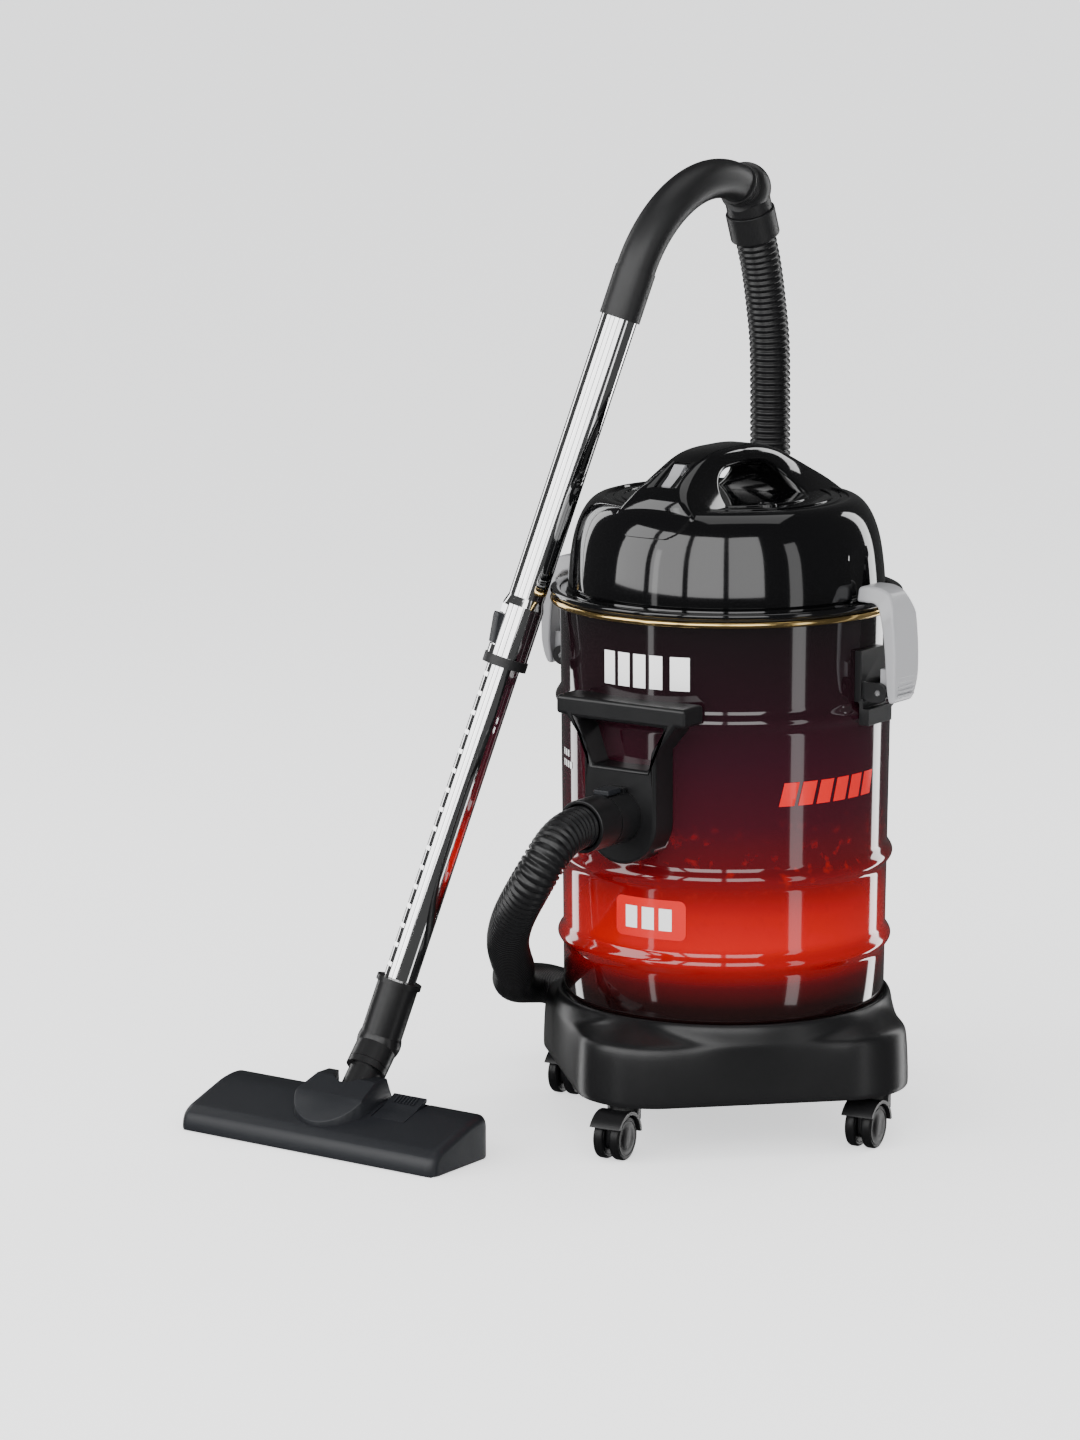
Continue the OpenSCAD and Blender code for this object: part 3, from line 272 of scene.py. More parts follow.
def addPiece(name, bm, like, material=None, alsoFor=(), body=None, smooth=35, bevel=0, steps=3, clamp=True):
    tidyMesh(bm)
    mesh = bpy.data.meshes.new(name)
    bm.to_mesh(mesh)
    bm.free()
    piece = bpy.data.objects.new(name, mesh)
    scene.collection.objects.link(piece)
    mesh.materials.append(material or finishes[slotOf[like]])
    mesh.shade_smooth()
    mesh.set_sharp_from_angle(angle=math.radians(smooth))
    if bevel:
        rounding = piece.modifiers.new("edges", "BEVEL")
        rounding.width = bevel
        rounding.segments = steps
        rounding.limit_method = "ANGLE"
        rounding.angle_limit = math.radians(smooth)
        rounding.harden_normals = True
        rounding.use_clamp_overlap = clamp
    if body != "none":
        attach(piece, body or bodyOf[like])
    if alsoFor is not None:
        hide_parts(like, *alsoFor)
    return piece


def lathe(profile, steps=128, axis=(0, 0, 1), centre=(0, 0, 0), closed=False):
    bm = bmesh.new()
    corners = [bm.verts.new(point) for point in profile]
    for first, second in zip(corners, corners[1:]):
        bm.edges.new((first, second))
    if closed:
        bm.edges.new((corners[-1], corners[0]))
    bmesh.ops.spin(bm, geom=bm.verts[:] + bm.edges[:], cent=centre, axis=axis, angle=math.tau, steps=steps,
                   use_merge=True, use_duplicate=False)
    return bm


def slab(outline, width, across=(1, 0, 0)):
    bm = bmesh.new()
    half = Vector(across) * width / 2
    face = bm.faces.new([bm.verts.new(Vector(point) - half) for point in outline])
    moved = bmesh.ops.extrude_face_region(bm, geom=[face])
    bmesh.ops.translate(bm, verts=newVerts(moved), vec=Vector(across) * width)
    bmesh.ops.recalc_face_normals(bm, faces=bm.faces)
    return bm


def softened(node, radius=0.0012, steps=2, material=None, angle=32):
    # a CAD node's own shape with its doubles merged and its hard edges rounded
    bm = bmesh.new()
    bm.from_mesh(frame["nodes"][node].data)
    bmesh.ops.remove_doubles(bm, verts=bm.verts, dist=2e-6)
    bmesh.ops.dissolve_limit(bm, angle_limit=math.radians(1), verts=bm.verts, edges=bm.edges)
    return addPiece(node + "_soft", bm, node, material, smooth=angle, bevel=radius, steps=steps)


def roundCorners(points, radii, steps=5):
    # an outline whose corners are turned into arcs
    bm = bmesh.new()
    corners = [bm.verts.new(point) for point in points]
    bm.faces.new(corners)
    for corner, radius in zip(list(corners), radii):
        if radius:
            bmesh.ops.bevel(bm, geom=[corner], affect="VERTICES", offset=radius, segments=steps, profile=0.5,
                            material=-1, offset_type="OFFSET")
    face = bm.faces[:][0]
    outline = [loop.vert.co.copy() for loop in face.loops]
    bm.free()
    return outline


# the hose: its route in millimetres, from the inlet connector to the wand's knuckle, and other lengths
# in metres
hoseShape = {
    "diameter": 0.038, "pitch": 0.0058, "depth": 0.0021, "sides": 30, "step": 0.004,
    "blendLow": 0.56, "blendHigh": 0.78,
    "rib": ((0.0, 1.0), (0.2, 0.15), (0.42, 0.0), (0.64, 0.15), (0.84, 1.0)),
    "route": [(0, -222, 310), (0, -246, 309), (2, -268, 304), (1, -286, 291), (-12, -291, 267),
              (-38, -276, 237), (-66, -246, 211), (-92, -211, 188), (-116, -173, 166), (-140, -134, 145),
              (-171, -92, 123), (-196, -48, 107), (-213, -2, 95), (-228, 40, 84), (-237, 80, 71),
              (-236, 120, 56), (-224, 160, 40), (-200, 194, 27), (-166, 219, 20), (-130, 233, 24),
              (-98, 238, 39), (-72, 236, 64), (-54, 229, 97), (-45, 220, 138), (-43, 211, 190),
              (-47, 202, 265), (-54, 195, 345), (-61, 189, 425), (-67, 185, 505), (-70, 183, 580),
              (-69, 180, 640), (-67, 175, 690), (-66, 167, 727), (-65, 157, 762), (-65, 148, 787),
              (-65, 139, 811)],
}


def smoothPath(points, step=0.004, pieces=0):
    # one curve through the points, sampled evenly
    points = [Vector(point) * 0.001 for point in points]
    points = [points[0] * 2 - points[1]] + points + [points[-1] * 2 - points[-2]]
    dense = []
    fineSteps = 24
    for before, start, stop, after in zip(points, points[1:], points[2:], points[3:]):
        for k in range(fineSteps):
            t = k / fineSteps
            square = (2 * before - 5 * start + 4 * stop - after) * t * t
            cube = (3 * start - before - 3 * stop + after) * t ** 3
            dense.append(0.5 * (2 * start + (stop - before) * t + square + cube))
    dense.append(points[-2])
    lengths = [0.0]
    for first, second in zip(dense, dense[1:]):
        lengths.append(lengths[-1] + (second - first).length)
    count = pieces or round(lengths[-1] / step)
    even, k = [], 0
    for i in range(count + 1):
        want = lengths[-1] * i / count
        while k < len(dense) - 2 and lengths[k + 1] < want:
            k += 1
        part = (want - lengths[k]) / (lengths[k + 1] - lengths[k])
        even.append(dense[k].lerp(dense[k + 1], min(1, part)))
    return even, lengths[-1]


def wrapAlong(bm, path, length, side=Vector((1, 0, 0))):
    # lays a straight tube, which runs up Z from 0, along a path, without twisting it
    last = len(path) - 1
    tangents = [(path[min(i + 1, last)] - path[max(i - 1, 0)]).normalized() for i in range(len(path))]
    across = [(side - side.dot(tangents[0]) * tangents[0]).normalized()]
    for before, after in zip(tangents, tangents[1:]):
        turn = before.rotation_difference(after)
        across.append((turn @ across[-1]).normalized())
    for v in bm.verts:
        at = min(max(v.co.z / length, 0), 1) * last
        i = min(int(at), last - 1)
        part = at - i
        along = tangents[i].lerp(tangents[i + 1], part).normalized()
        first = across[i].lerp(across[i + 1], part)
        first = (first - first.dot(along) * along).normalized()
        v.co = path[i].lerp(path[i + 1], part) + first * v.co.x + along.cross(first) * v.co.y


path, hoseLength = smoothPath(hoseShape["route"], hoseShape["step"])
ribs = round(hoseLength / hoseShape["pitch"])
radius = hoseShape["diameter"] / 2
ribLine = [(0.0, 0, 0.0)]
for i in range(ribs):
    start = hoseLength * i / ribs
    for part, drop in hoseShape["rib"]:
        ribLine.append((radius - hoseShape["depth"] * drop, 0, start + part * hoseLength / ribs))
ribLine += [(radius - hoseShape["depth"], 0, hoseLength), (0.0, 0, hoseLength)]
bm = lathe(ribLine, steps=hoseShape["sides"])
wrapAlong(bm, path, hoseLength)
hose = addPiece("hose_ribbed", bm, "hose", smooth=75, body="none")
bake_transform(hose)
print("hose laid, length", round(hoseLength, 4))


def band(outer, inner, width, pieces=56):
    # a solid between two curves in the upright plane, as wide as width(point) across it
    bm = bmesh.new()
    outside, inside = (smoothPath(line, pieces=pieces)[0] for line in (outer, inner))
    pairs = [(bm.verts.new(a), bm.verts.new(b)) for a, b in zip(outside, inside)]
    for (a, b), (c, d) in zip(pairs, pairs[1:]):
        bm.faces.new((a, b, d, c))
    across = Vector((1, 0, 0)) if abs(pairs[0][0].co.x - pairs[-1][1].co.x) < 1e-9 else Vector((0, 1, 0))
    moved = bmesh.ops.extrude_face_region(bm, geom=bm.faces[:])
    upper = set(newVerts(moved))
    for v in bm.verts:
        v.co += across * width(v.co) / 2 * (1 if v in upper else -1)
    return bm


def addBox(bm, size, centre, turn=None):
    made = bmesh.ops.create_cube(bm, size=1)["verts"]
    bmesh.ops.scale(bm, verts=made, vec=size)
    if turn:
        bmesh.ops.rotate(bm, verts=made, cent=(0, 0, 0), matrix=turn)
    bmesh.ops.translate(bm, verts=made, vec=centre)


def addRod(bm, radius, length, centre, turn=None, segments=48):
    made = bmesh.ops.create_cone(bm, cap_ends=True, segments=segments, radius1=radius, radius2=radius,
                                 depth=length)
    if turn:
        bmesh.ops.rotate(bm, verts=made["verts"], cent=(0, 0, 0), matrix=turn)
    bmesh.ops.translate(bm, verts=made["verts"], vec=centre)


def carve(piece, cutters):
    # takes the cutters' shapes out of a piece's mesh
    for bm in cutters:
        mesh = bpy.data.meshes.new("cutter")
        bmesh.ops.recalc_face_normals(bm, faces=bm.faces)
        bm.to_mesh(mesh)
        bm.free()
        cutter = bpy.data.objects.new("cutter", mesh)
        scene.collection.objects.link(cutter)
        knife = piece.modifiers.new("knife", "BOOLEAN")
        knife.object = cutter
        knife.operation = "DIFFERENCE"
        knife.solver = "EXACT"
        knife.use_self = True
        applyModifiers(piece)
        bpy.data.objects.remove(cutter)
    piece.data.shade_smooth()
    piece.data.set_sharp_from_angle(angle=math.radians(35))


def slabOf(outlines, depth, along):
    # flat outlines, the first round the outside and the rest holes, made solid
    bm = bmesh.new()
    for outline in outlines:
        corners = [bm.verts.new(point) for point in outline]
        for k, corner in enumerate(corners):
            bm.edges.new((corner, corners[(k + 1) % len(corners)]))
    bmesh.ops.triangle_fill(bm, use_beauty=True, edges=bm.edges[:])
    moved = bmesh.ops.extrude_face_region(bm, geom=bm.faces[:])
    bmesh.ops.translate(bm, verts=newVerts(moved), vec=Vector(along) * depth)
    return bm


# the drum: radii and heights of its wall, its three rolled beads and its rounded foot
drum = {
    "low": 0.146, "top": 0.150, "floor": 0.117, "rim": 0.485, "wall": 0.0015, "steps": 192,
    "beads": (0.175, 0.252, 0.393), "reach": 0.0115, "proud": 0.005, "beadRows": 10, "beadMargin": 0.0015,
    "foot": ((0.006, 0), (0.002, 0.0015)), "footTop": 0.006, "rimLip": 0.0012,
    "markGrid": 0.004, "markThick": 0.0002,
}


def wallRadius(z):
    radius = drum["low"] + (drum["top"] - drum["low"]) * (z - drum["floor"]) / (drum["rim"] - drum["floor"])
    for bead in drum["beads"]:
        off = (z - bead) / drum["reach"]
        if abs(off) < 1:
            radius += drum["proud"] * math.cos(off * math.pi / 2) ** 2
    return radius


heights = {drum["floor"] + drum["footTop"], drum["rim"] - drum["rimLip"], drum["rim"]}
for bead in drum["beads"]:
    rows = range(-drum["beadRows"], drum["beadRows"] + 1)
    heights |= {bead + drum["reach"] * k / drum["beadRows"] for k in rows}
    heights |= {bead - drum["reach"] - drum["beadMargin"], bead + drum["reach"] + drum["beadMargin"]}
line = [(0, 0, drum["floor"])]
line += [(drum["low"] - inset, 0, drum["floor"] + up) for inset, up in drum["foot"]]
line += [(wallRadius(z), 0, z) for z in sorted(heights)]
shell = addPiece("drum_shell", lathe(line, steps=drum["steps"]), "drum", smooth=60)
wall = shell.modifiers.new("wall", "SOLIDIFY")
wall.thickness, wall.offset = drum["wall"], -1


def drumPatch(name, outlines, turn, height, material, proud):
    # a painted mark: flat outlines in metres wrapped onto the drum, centred at a compass turn and a height
    bm = bmesh.new()
    for outline in outlines:
        bm.faces.new([bm.verts.new((x, 0, z)) for x, z in outline])
    grid = drum["markGrid"]
    for across, direction in ((0, (1, 0, 0)), (1, (0, 0, 1))):
        rows = int(max(abs(point[across]) for outline in outlines for point in outline) / grid)
        score(bm, [k * grid for k in range(-rows, rows + 1)], direction)
    bmesh.ops.triangulate(bm, faces=bm.faces[:])
    for v in bm.verts:
        z = v.co.z + height
        radius = wallRadius(z) + proud
        angle = math.radians(turn) + v.co.x / radius
        v.co = (radius * math.cos(angle), radius * math.sin(angle), z)
    bmesh.ops.solidify(bm, geom=bm.faces[:], thickness=-drum["markThick"])
    addPiece(name, bm, "drum", material, alsoFor=None, smooth=40)


def bar(x, z, width, height, slant=0.0):
    return [(x - width / 2 - slant, z - height / 2), (x + width / 2 - slant, z - height / 2),
            (x + width / 2 + slant, z + height / 2), (x - width / 2 + slant, z + height / 2)]


def roundedBar(width, height, corner, steps=6):
    return [(sx * (width / 2 - corner) + corner * math.cos(a), sz * (height / 2 - corner) + corner
             * math.sin(a))
            for sx, sz, first in ((1, 1, 0), (-1, 1, 90), (-1, -1, 180), (1, -1, 270))
            for a in (math.radians(first + 90 * k / steps) for k in range(steps + 1))]


# plain marks: blocks and bars, each group with its compass turn and its height
marks = {
    "mark_upper": ([bar(x, 0, 0.0125, 0.030) for x in (-0.040, -0.0235, -0.007, 0.0095)]
                   + [bar(0.032, 0, 0.018, 0.030)], -85, 0.4365, whitePaint, 0.0003),
    "mark_side": ([bar(-0.046 + 0.0185 * k, 0, 0.0145, 0.021, 0.0025) for k in range(6)],
                  -17, 0.3285, redPaint, 0.0003),
    "label_patch": ([roundedBar(0.070, 0.036, 0.006)], -84, 0.2145, labelRed, 0.0003),
    "label_bars": ([bar(x, 0, 0.012, 0.020) for x in (-0.018, -0.001, 0.016)], -84, 0.2145, whitePaint,
                   0.0007),
    "mark_far": ([bar(0.0065 * k, 0, 0.004, 0.006) for k in range(3)]
                 + [bar(0.0065 * k, -0.010, 0.004, 0.006) for k in range(4)], -133, 0.347, whitePaint,
                 0.0003),
}
for name, (outlines, turn, height, material, proud) in marks.items():
    drumPatch(name, outlines, turn, height, material, proud)
print("drum made")

# the base: each level is a height, an inset of the rounded square and a circle's radius, in millimetres;
# other lengths are in metres
base = {"corner": 0.116, "round": 0.070, "sides": 160, "wall": 0.003, "sharpness": 40,
        "levels": [(49, 3.6, 100), (49, 0.8, 100), (50.4, 0, 100), (75, 0.7, 149), (94, 2.0, 152.5),
                   (100, 3.2, 154), (103.6, 5.4, 154.6), (106.2, 9.5, 154.4), (109.6, 16, 154),
                   (113.6, 24, 153.4), (118, 34, 152.6), (121.2, 50, 151), (122.2, 60, 149.4),
                   (121.8, 60, 147.8), (117.2, 60, 146.4)]}


def baseReach(angle, inset, circle):
    # how far the rounded square, blended with a circle, reaches in a direction
    corner, radius = base["corner"] * 1000, base["round"] * 1000 - inset
    off = abs((math.degrees(angle) + 45) % 90 - 45)
    tangent = math.degrees(math.atan2(radius * math.sqrt(0.5), corner + radius * math.sqrt(0.5)))
    if off < tangent:
        square = corner * math.cos(math.radians(off)) + math.sqrt(
            radius ** 2 - (corner * math.sin(math.radians(off))) ** 2)
    else:
        square = (corner * math.sqrt(0.5) + radius) / math.cos(math.radians(45 - off))
    sharpness = base["sharpness"]
    return 0.001 * (square ** sharpness + circle ** sharpness) ** (1 / sharpness)


bm = bmesh.new()
loop = bmesh.ops.create_circle(bm, segments=base["sides"], radius=1)["verts"]
ringEdges = bm.edges[:]
for k, (z, inset, circle) in enumerate(base["levels"]):
    if k:
        moved = bmesh.ops.extrude_edge_only(bm, edges=ringEdges)
        ringEdges, loop = newEdges(moved), newVerts(moved)
    for v in loop:
        angle = math.atan2(v.co.y, v.co.x)
        reach = baseReach(angle, inset, circle)
        v.co = (reach * math.cos(angle), reach * math.sin(angle), z * 0.001)
bmesh.ops.recalc_face_normals(bm, faces=bm.faces)
plinth = addPiece("base_moulding", bm, "base_plinth", smooth=50)
wall = plinth.modifiers.new("wall", "SOLIDIFY")
wall.thickness, wall.offset = base["wall"], -1
smoothing = plinth.modifiers.new("surface", "SUBSURF")
smoothing.levels = smoothing.render_levels = 1
print("base made")

# the head: its dome and flange are spun profiles in millimetres, and other lengths are in metres
head = {
    "deck": 0.575, "top": 0.621, "wall": 0.002, "steps": 192,
    "notchX": 0.138, "notchHalf": 0.015, "notchTop": 0.548, "notchDeep": 0.0005, "notchEdge": 0.0006,
    "dome": [(143, 0, 492), (142.8, 0, 500), (142, 0, 510), (140.6, 0, 522), (138.9, 0, 533),
             (136.6, 0, 543), (133.2, 0, 553), (128.8, 0, 562), (123, 0, 569.5), (116.5, 0, 574),
             (111, 0, 575)],
    "lip": [(0.1095, 0, 0.5746), (0.1085, 0, 0.5732), (0.104, 0, 0.5728), (0.1025, 0, 0.5731),
            (0.1015, 0, 0.5740), (0.06, 0, 0.5742), (0, 0, 0.5744)],
    "flange": [(156.3, 486.5), (158, 487), (158.8, 488.2), (159, 489.4), (158.7, 490.8), (157.9, 491.7),
               (156.6, 492), (151.6, 492), (150.5, 491.5), (150, 490.2), (149.2, 489.2), (147.8, 488.8),
               (144.8, 488.8), (143.8, 489.2), (143.4, 490.2), (143.2, 492), (50, 492), (50, 486.5),
               (142.5, 486.5), (142.5, 473), (146.5, 473), (146.5, 486.5)],
}
line = [(r * 0.001, 0, z * 0.001) for r, z in head["flange"]]
addPiece("flange_ring", lathe(line, head["steps"], closed=True), "head_flange", smooth=50)

bm = lathe([tuple(point) for point in smoothPath(head["dome"], 0.003)[0]] + head["lip"], head["steps"])
for y in (-head["notchHalf"], head["notchHalf"]):
    score(bm, [y - head["notchEdge"], y + head["notchEdge"]], (0, 1, 0))
score(bm, [head["notchTop"] - head["notchEdge"], head["notchTop"] + head["notchEdge"]], (0, 0, 1))
for v in bm.verts:
    if abs(v.co.y) < head["notchHalf"] and v.co.z < head["notchTop"] and abs(v.co.x) > head["notchX"]:
        v.co.x = math.copysign(head["notchX"] - head["notchDeep"], v.co.x)
dome = addPiece("head_dome", bm, "head_cover", smooth=38)
wall = dome.modifiers.new("wall", "SOLIDIFY")
wall.thickness, wall.offset = head["wall"], -1

# the handle: the upper and lower edge of its side view in millimetres, the rest in metres
handle = {
    "outer": [(0, -119, 556), (0, -118.4, 572), (0, -116.5, 581), (0, -110, 590), (0, -98, 598.5),
              (0, -84, 606.5), (0, -68, 613.8), (0, -50, 618.8), (0, -30, 620.8), (0, -6, 621),
              (0, 18, 620.4), (0, 40, 617.4), (0, 60, 611.4), (0, 80, 602), (0, 98, 591.5), (0, 112, 581),
              (0, 118, 568), (0, 119, 556)],
    "inner": [(0, -54, 556), (0, -54, 572), (0, -53.6, 578), (0, -52.6, 583), (0, -50.5, 588.5),
              (0, -46.5, 594.5), (0, -40, 599.5), (0, -31, 602.6), (0, -18, 603.6), (0, 0, 603.8),
              (0, 16, 603.4), (0, 29, 601.4), (0, 39, 597), (0, 46, 590.5), (0, 50, 584), (0, 52.5, 578),
              (0, 53.5, 570), (0, 54, 556)],
    "width": 0.040, "flareFront": 0.036, "flareRear": 0.056, "flareCurve": 2.2, "edge": 0.0075,
}


def handleWidth(point):
    low = min(1.2, max(0, (head["top"] - point.z) / (head["top"] - head["deck"])))
    flare = (handle["flareRear"] if point.y > 0 else handle["flareFront"]) * low ** handle["flareCurve"]
    return handle["width"] + flare


arch = addPiece("handle_arch", band(handle["outer"], handle["inner"], handleWidth), "head_handle", smooth=50,
                bevel=handle["edge"], steps=5, clamp=False)

# the console's apron: a U laid over the dome's shoulder in front of the handle
apron = {"half": 0.038, "down": 0.034, "corner": 0.022, "start": 0.006, "thick": 0.0012, "rise": 0.0009,
         "columns": 0.004, "rows": 0.002}


def domeAt(travel):
    # the point and outward normal that lie a distance down the dome from the deck's edge
    line = [Vector(point) for point in reversed(smoothPath(head["dome"], 0.001)[0])]
    k = max(1, min(len(line) - 2, round(travel / 0.001)))
    along = (line[k + 1] - line[k - 1]).normalized()
    return line[k], Vector((-along.z, 0, along.x))


def wrapDome(bm, rise):
    for v in bm.verts:
        point, normal = domeAt(v.co.z)
        place = point + normal * rise
        angle = -math.pi / 2 + v.co.x / place.x
        v.co = (place.x * math.cos(angle), place.x * math.sin(angle), place.z)


corner, half, depth = apron["corner"], apron["half"], apron["down"] - apron["corner"]
outline = [(half, apron["start"]), (half, depth)]
for degrees in range(10, 91, 10):
    x, z = onCircle(degrees, corner)
    outline.append((half - corner + x, depth + z))
outline += [(-x, z) for x, z in reversed(outline)]
bm = bmesh.new()
bm.faces.new([bm.verts.new((x, 0, z)) for x, z in outline])
score(bm, [k * apron["columns"] for k in range(-9, 10)], (1, 0, 0))
score(bm, [k * apron["rows"] for k in range(4, 17)], (0, 0, 1))
wrapDome(bm, apron["rise"])
bmesh.ops.recalc_face_normals(bm, faces=bm.faces)
bmesh.ops.solidify(bm, geom=bm.faces[:], thickness=apron["thick"])
addPiece("console_apron", bm, "head_cover", alsoFor=None, smooth=50, bevel=0.0004, steps=2)

# the deck: two shallow rings and a round pad on each side of the handle
deck = {"level": 0.5744, "rings": ((0.072, 0.0016), (0.094, 0.0013)),
        "pads": ((0.062, -0.030), (-0.062, -0.030)),
        "padRadius": 0.0085, "ringFlat": 0.7,
        "pad": ((1, -0.0005), (1, 0.0008), (0.94, 0.0014), (0.84, 0.0014), (0.78, 0.0008), (0, 0.0006))}
for k, (reach, thick) in enumerate(deck["rings"]):
    circle = [onCircle(degrees, thick, deck["ringFlat"] * thick) for degrees in range(0, 360, 30)]
    line = [(reach + x, 0, deck["level"] + z) for x, z in circle]
    addPiece("deck_ring_" + str(k + 1), lathe(line, 128, closed=True), "head_cover", alsoFor=None, smooth=60)
for k, (x, y) in enumerate(deck["pads"]):
    line = [(deck["padRadius"] * share, 0, deck["level"] + rise) for share, rise in deck["pad"]]
    bm = lathe(line, 48)
    bmesh.ops.translate(bm, verts=bm.verts, vec=(x, y, 0))
    addPiece("deck_pad_" + str(k + 1), bm, "head_cover", alsoFor=None, smooth=40)

# the switch's recess in the handle's front slope
switch = {"y": -0.088, "z": 0.602, "slope": 29.5, "half": (0.0085, 0.0195), "deep": 0.012, "tall": 0.04}
cutter = bmesh.new()
addBox(cutter, (switch["half"][0] * 2, switch["half"][1] * 2, switch["tall"]),
       (0, 0, switch["tall"] / 2 - switch["deep"]))
bmesh.ops.rotate(cutter, verts=cutter.verts, cent=(0, 0, 0), matrix=turned(switch["slope"], "X"))
bmesh.ops.translate(cutter, verts=cutter.verts, vec=(0, switch["y"], switch["z"]))
applyModifiers(arch)
carve(arch, [cutter])
print("head made")

# the inlet bracket: a bar, two struts with a window between them, and a round-bottomed body
bracket = {"front": 0.172, "back": 0.140, "barWide": 0.136, "barLow": 0.3945, "barHigh": 0.4115,
           "strut": 0.010,
           "half": 0.038, "shoulder": 0.369, "centre": 0.304, "edge": 0.0035,
           "windowTop": 0.3925, "windowInset": 0.022, "windowFoot": 0.353, "windowSide": 0.009}
halfBar, half = bracket["barWide"] / 2, bracket["half"]
outline = [(-halfBar, bracket["barLow"]), (-halfBar, bracket["barHigh"]), (halfBar, bracket["barHigh"]),
           (halfBar, bracket["barLow"]), (halfBar - bracket["strut"], bracket["barLow"]),
           (half, bracket["shoulder"])]
for degrees in range(0, -181, -9):
    x, z = onCircle(degrees, half)
    outline.append((x, bracket["centre"] + z))
outline += [(-half, bracket["shoulder"]), (-halfBar + bracket["strut"], bracket["barLow"])]
top, foot = halfBar - bracket["windowInset"], half - bracket["windowSide"]
window = [(-top, bracket["windowTop"]), (top, bracket["windowTop"]), (foot, bracket["windowFoot"]),
          (-foot, bracket["windowFoot"])]
frontward = [[(x, -bracket["back"], z) for x, z in line] for line in (outline, window)]
bm = slabOf(frontward, bracket["front"] - bracket["back"], (0, -1, 0))
addPiece("bracket_body", bm, "inlet_bracket", smooth=42, bevel=bracket["edge"], steps=4, clamp=False)

softEdges = {"hose_connector": 0.001, "connector_button": 0.0012, "hose_cuff_lower": 0.0012,
             "hose_cuff_upper": 0.0012, "latch_bracket_right": 0.001, "latch_bracket_left": 0.001,
             "lock_button": 0.0012, "grip_collar": 0.0008}
for node, radius in softEdges.items():
    softened(node, radius)
print("inlet made")

# the latch levers: two profiles in millimetres, the rest in metres
latch = {
    "outer": [(147, 0, 505), (151, 0, 507.4), (160, 0, 508), (170, 0, 507), (179, 0, 502.5),
              (184.6, 0, 493), (187.4, 0, 480), (189.2, 0, 462), (190, 0, 442), (189.4, 0, 424),
              (187.6, 0, 411), (185.4, 0, 405.6)],
    "inner": [(147, 0, 493.4), (151, 0, 493.4), (158, 0, 493.4), (164, 0, 493.2), (169.4, 0, 490),
              (173.4, 0, 483), (176, 0, 470), (178, 0, 455), (179.2, 0, 440), (179.8, 0, 426),
              (180, 0, 414), (180.6, 0, 405.2)],
    "edge": 0.0032, "steps": 44, "wide": 0.042, "hookWide": 0.028, "hookFoot": 0.484, "hookTop": 0.500,
    "tipTop": 0.43, "tipLong": 0.025, "tipLoss": 0.010, "tipCurve": 1.5,
    "ribs": 5, "ribPitch": 0.0042, "ribRadius": 0.0011, "ribLong": 0.026, "ribX": 0.1888, "ribZ": 0.412,
    "knuckleRadius": 0.0065, "knuckleLong": 0.024, "knuckleX": 0.170, "knuckleZ": 0.414,
    "web": (0.012, 0.024, 0.026), "webX": 0.176, "webZ": 0.422,
}


def latchWidth(point):
    if point.z > latch["hookFoot"]:
        share = (latch["hookTop"] - point.z) / (latch["hookTop"] - latch["hookFoot"])
        return latch["hookWide"] + (latch["wide"] - latch["hookWide"]) * max(0, min(1, share))
    share = max(0, (latch["tipTop"] - point.z) / latch["tipLong"])
    return latch["wide"] - latch["tipLoss"] * share ** latch["tipCurve"]


crosswise = turned(90, "X")
for side, name in ((1, "right"), (-1, "left")):
    bm = band(latch["outer"], latch["inner"], latchWidth, latch["steps"])
    if side < 0:
        bmesh.ops.scale(bm, verts=bm.verts, vec=(-1, 1, 1))
    addPiece("latch_" + name, bm, "latch_lever_" + name, smooth=50, bevel=latch["edge"], steps=4)
    bm = bmesh.new()
    for k in range(latch["ribs"]):
        place = (side * latch["ribX"], 0, latch["ribZ"] + latch["ribPitch"] * k)
        addRod(bm, latch["ribRadius"], latch["ribLong"], place, crosswise, 12)
    place = (side * latch["knuckleX"], 0, latch["knuckleZ"])
    addRod(bm, latch["knuckleRadius"], latch["knuckleLong"], place, crosswise, 40)
    addBox(bm, latch["web"], (side * latch["webX"], 0, latch["webZ"]))
    addPiece("latch_ribs_" + name, bm, "latch_lever_" + name, alsoFor=None, smooth=40)
print("latches made")

# the floor nozzle, all of it placed from the point on the floor below the neck's pivot: its section is
# lofted along its length, and drawn in round both ends
nozzle = {
    "length": 0.285, "back": 0.018, "high": 0.040, "endRound": 0.009, "endSteps": 7, "pivotZ": 0.032,
    "section": [(-0.070, 0.0005), (0.018, 0.0005), (0.018, 0.040), (-0.004, 0.040), (-0.0615, 0.0215),
                (-0.070, 0.013)],
    "radii": [0.002, 0.002, 0.008, 0.010, 0.006, 0.008],
    "middle": (0, -0.026, 0.0005), "drawWide": 0.044, "drawTall": 0.0395,
    "slot": (0.046, 0.040, 0.06), "slotAt": (0, 0.004, 0.036),
}
low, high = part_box("nozzle_body")
pivot = Vector(((low.x + high.x) / 2, high.y - nozzle["back"], 0))
neckPivot = pivot + Vector((0, 0, nozzle["pivotZ"]))


def shrinkAt(share):
    # how far the section draws in at a share of the rounded end
    return nozzle["endRound"] * (1 - math.sin(math.acos(1 - share)))


def drawIn(verts, amount):
    centre = Vector(nozzle["middle"])
    for v in verts:
        v.co.y = centre.y + (v.co.y - centre.y) * (1 - amount / nozzle["drawWide"])
        v.co.z = centre.z + (v.co.z - centre.z) * (1 - amount / nozzle["drawTall"])


def cutTo(bm, point, direction):
    # slices off what lies beyond a plane and closes the cut
    cut = bmesh.ops.bisect_plane(bm, geom=allOf(bm), plane_co=point, plane_no=direction, clear_outer=True)
    bmesh.ops.holes_fill(bm, edges=newEdges(cut, "geom_cut"), sides=0)


